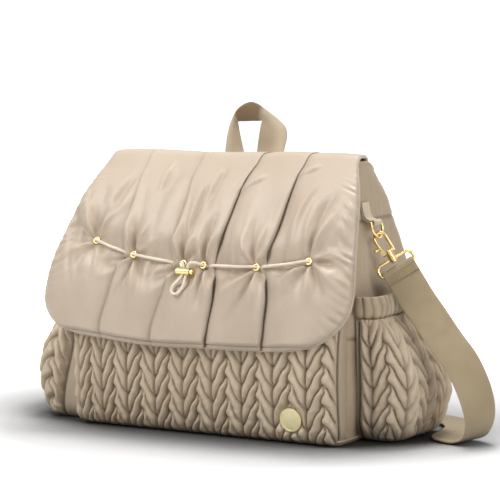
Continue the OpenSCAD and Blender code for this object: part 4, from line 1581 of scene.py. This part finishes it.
# The cord along the flap: place across, share of the full lift over the cloth, and how much less or more
LEFT_RUN = (
    (-147, 0, -3), (-143, 0.6, 0), (-138, 1, 0), (-124, 1, 0), (-112, 1, -0.4), (-105, 0, -1), (-98, 0, -4),
    (-92.4, 0.4, 0), (-86, 1, 0), (-70, 1, 0), (-54, 1, -0.3), (-45, 0, -0.5), (-38, 0, -4), (-31, 0, -3),
    (-28, 0.6, 0),
)
RIGHT_RUN = (
    (-4, 0.6, 0), (-1, 0, -3), (3, 0, -4), (7, 0, -1), (13, 1, -0.4), (28, 1, 0), (46, 1, 0), (58, 1, 0),
    (63, 0.5, 0), (67, 0, -3), (70, 0, -2), (74, 1, -0.6), (88, 1, 0), (106, 1, 0), (120, 1, 0),
    (125.5, 0.5, 0), (129, 0, -3),
)
# The cord at the stopper: along it, out from the flap, and up the flap
INTO_LEFT = (
    (-5.4, 0.6, 10), (-3.4, 0.4, 8), (-CORD_SIDE, 0, 5), (-CORD_SIDE, 0, 2), (-CORD_SIDE, 0, -1),
    (-CORD_SIDE, 0, -4),
)
FROM_RIGHT = (
    (CORD_SIDE, 0, -4), (CORD_SIDE, 0, -1), (CORD_SIDE, 0, 2), (CORD_SIDE, 0, 5), (3.6, 0.4, 8), (7, 1.0, 10),
    (12, 0.2, 10.4),
)
HANGING = (
    (-CORD_SIDE, 0, -4), (-CORD_SIDE - 0.6, 0.8, -7), (-6, 2.4, -12), (-9.4, 3.8, -18), (-9.6, 4.4, -23.5),
    (-5.4, 4.6, -26.4), (-0.4, 4.4, -24.2), (2.8, 3.8, -18), (3.2, 2.4, -12),
    (CORD_SIDE + 0.3, 0.8, -7), (CORD_SIDE, 0, -4),
)


def on_flap(x, share, more):
    return flap_at(x, front_v(cord_height(x)), EYELET_OFF + (CORD_LIFT * share + more))


def at_stopper(x, out, up):
    """A place in the stopper's own frame: along it, out from the flap, and up the flap."""
    return STOPPER + Vector((x, -out * cos(STOPPER_TILT) - up * sin(STOPPER_TILT),
                             -out * sin(STOPPER_TILT) + up * cos(STOPPER_TILT)))


def cord_piece(name, points, *stands_for):
    line = smooth_through(points, 6)
    piece = tube(name, line, CORD_D / 2, CORD, CORD_AROUND)
    marks = []
    for gone in gone_along(line):
        marks += [(CORD_D * pi * k / CORD_AROUND * MM, gone * MM) for k in range(CORD_AROUND)]
    lay_uv(piece, marks)
    dress(piece, "flap", "cord", *stands_for)
    return piece, line


def make_drawcord():
    """The cord shows in runs: out of an eyelet, along the cloth, and under the edge of the next pleat."""
    left = [on_flap(*p) for p in LEFT_RUN] + [at_stopper(*p) for p in INTO_LEFT]
    right = [at_stopper(*p) for p in FROM_RIGHT] + [on_flap(*p) for p in RIGHT_RUN]
    cord_piece("drawcord_left", left, "drawcord")
    cord_piece("drawcord_right", right)
    loop, line = cord_piece("cord_loop", [at_stopper(*p) for p in HANGING])


# Carried-over hardware


def paint_nodes():
    metal = ["eyelets", "stopper_body", "stopper_button"]
    for word in ("left", "right"):
        metal += [stem + word for stem in ("d_ring_", "hook_body_", "hook_gate_", "gate_pin_", "strap_ring_")]
    paints = {name: GOLD for name in metal}
    paints["badge"] = PALE_GOLD
    paints["base_board"] = BOARD
    for name, material in paints.items():
        node = nodes[name]
        for place in node.material_slots:
            place.link = "OBJECT"
            place.material = material


# Floor, background and lights, in metres

FLOOR_HALF = 6.0
FLOOR_Z = -0.0004
# How far round the object the floor is darkened
CONTACT_REACH = 0.16
# The floor's glow grows between these distances from the object
GLOW_START = 0.26
GLOW_END = 0.62
EVEN_LIGHT = 0.21
GLOSSY_SHARE = 0.75
# Lamps: name, place, aim, width, and power in watts
LAMPS = (
    ("key_lamp", (-0.8, -1.5, 1.5), (0, 0, 0.15), 0.9, 19.5),
    ("side_lamp", (1.8, -0.6, 1.2), (0, 0, 0.15), 1.2, 17),
    ("back_lamp", (-0.1, 0.6, 2.2), (0, 0, 0.2), 0.8, 31),
    ("crest_lamp", (-0.6, -0.9, 2.0), (0, 0, 0.28), 0.7, 10),
)


def make_floor():
    corners = ((-1, -1), (1, -1), (1, 1), (-1, 1))
    mesh = bpy.data.meshes.new("floor")
    mesh.from_pydata([(x * FLOOR_HALF, y * FLOOR_HALF, FLOOR_Z) for x, y in corners], [], [(0, 1, 2, 3)])
    floor_plane = add_object("floor", mesh)
    n = Paint("floor")
    pale = n.tones(3, 2, grey(0.70), grey(0.73))
    # Close to the object the floor is darker, for the contact shadow
    close = n.node("ShaderNodeAmbientOcclusion", samples=8)
    close.inputs["Distance"].default_value = CONTACT_REACH
    contact = n.ramp(close.outputs["AO"], (0.45, grey(0.06)), (0.97, grey(1)))
    n.colour(n.mix(1.0, pale, contact, "MULTIPLY"))
    n.set(Roughness=0.9, Specular_IOR_Level=0.1, Emission_Color=grey(1))
    # The glow grows away from the object, so that the floor runs into a white background
    light = n.node("ShaderNodeLightPath")
    seen = n.math("MAXIMUM", light.outputs["Is Camera Ray"], light.outputs["Is Glossy Ray"])
    away = n.node("ShaderNodeVectorMath", operation="LENGTH")
    n.link(n.places.outputs["Object"], away.inputs[0])
    glow = n.spread(away.outputs["Value"], 0.0, 1.0, GLOW_START, GLOW_END)
    n.link(n.math("MULTIPLY", seen, glow), n.shader.inputs["Emission Strength"])
    mesh.materials.append(n.material)


def make_world():
    """A plain white background, and a dimmer even light from all round."""
    world = bpy.data.worlds.new("world")
    bpy.context.scene.world = world
    n = Tree(world)
    light = n.node("ShaderNodeLightPath")
    through = n.math("MAXIMUM", light.outputs["Is Camera Ray"], light.outputs["Is Transmission Ray"])
    shine = n.math("MULTIPLY", light.outputs["Is Glossy Ray"], GLOSSY_SHARE)
    back = n.tree.nodes["Background"]
    n.link(n.spread(n.math("MAXIMUM", through, shine), EVEN_LIGHT, 1.0), back.inputs["Strength"])
    back.inputs["Color"].default_value = grey(1)


def make_lights():
    for name, place, aim, size, power in LAMPS:
        data = bpy.data.lights.new(name, "AREA")
        data.shape = "DISK"
        data.size = size
        data.energy = power
        lamp = add_object(name, data)
        lamp.location = place
        lamp.rotation_euler = (Vector(aim) - Vector(place)).to_track_quat("-Z", "Y").to_euler()


# Everything, in order

make_camera()
make_strap()
make_flap()
make_flap_binding()
make_drawcord()
make_front_pocket()
for way, side_word in ((1, "right"), (-1, "left")):
    make_side_pocket(way, side_word)
    make_elastic_band(way, side_word)
    make_ring_tab(way, side_word)
    make_strap_end(way, side_word)
make_body()
make_lining()
make_rim()
make_base()
make_back_panel()
make_haul_loop()
paint_nodes()
make_floor()
make_world()
make_lights()
bpy.context.scene.view_settings.view_transform = "Standard"
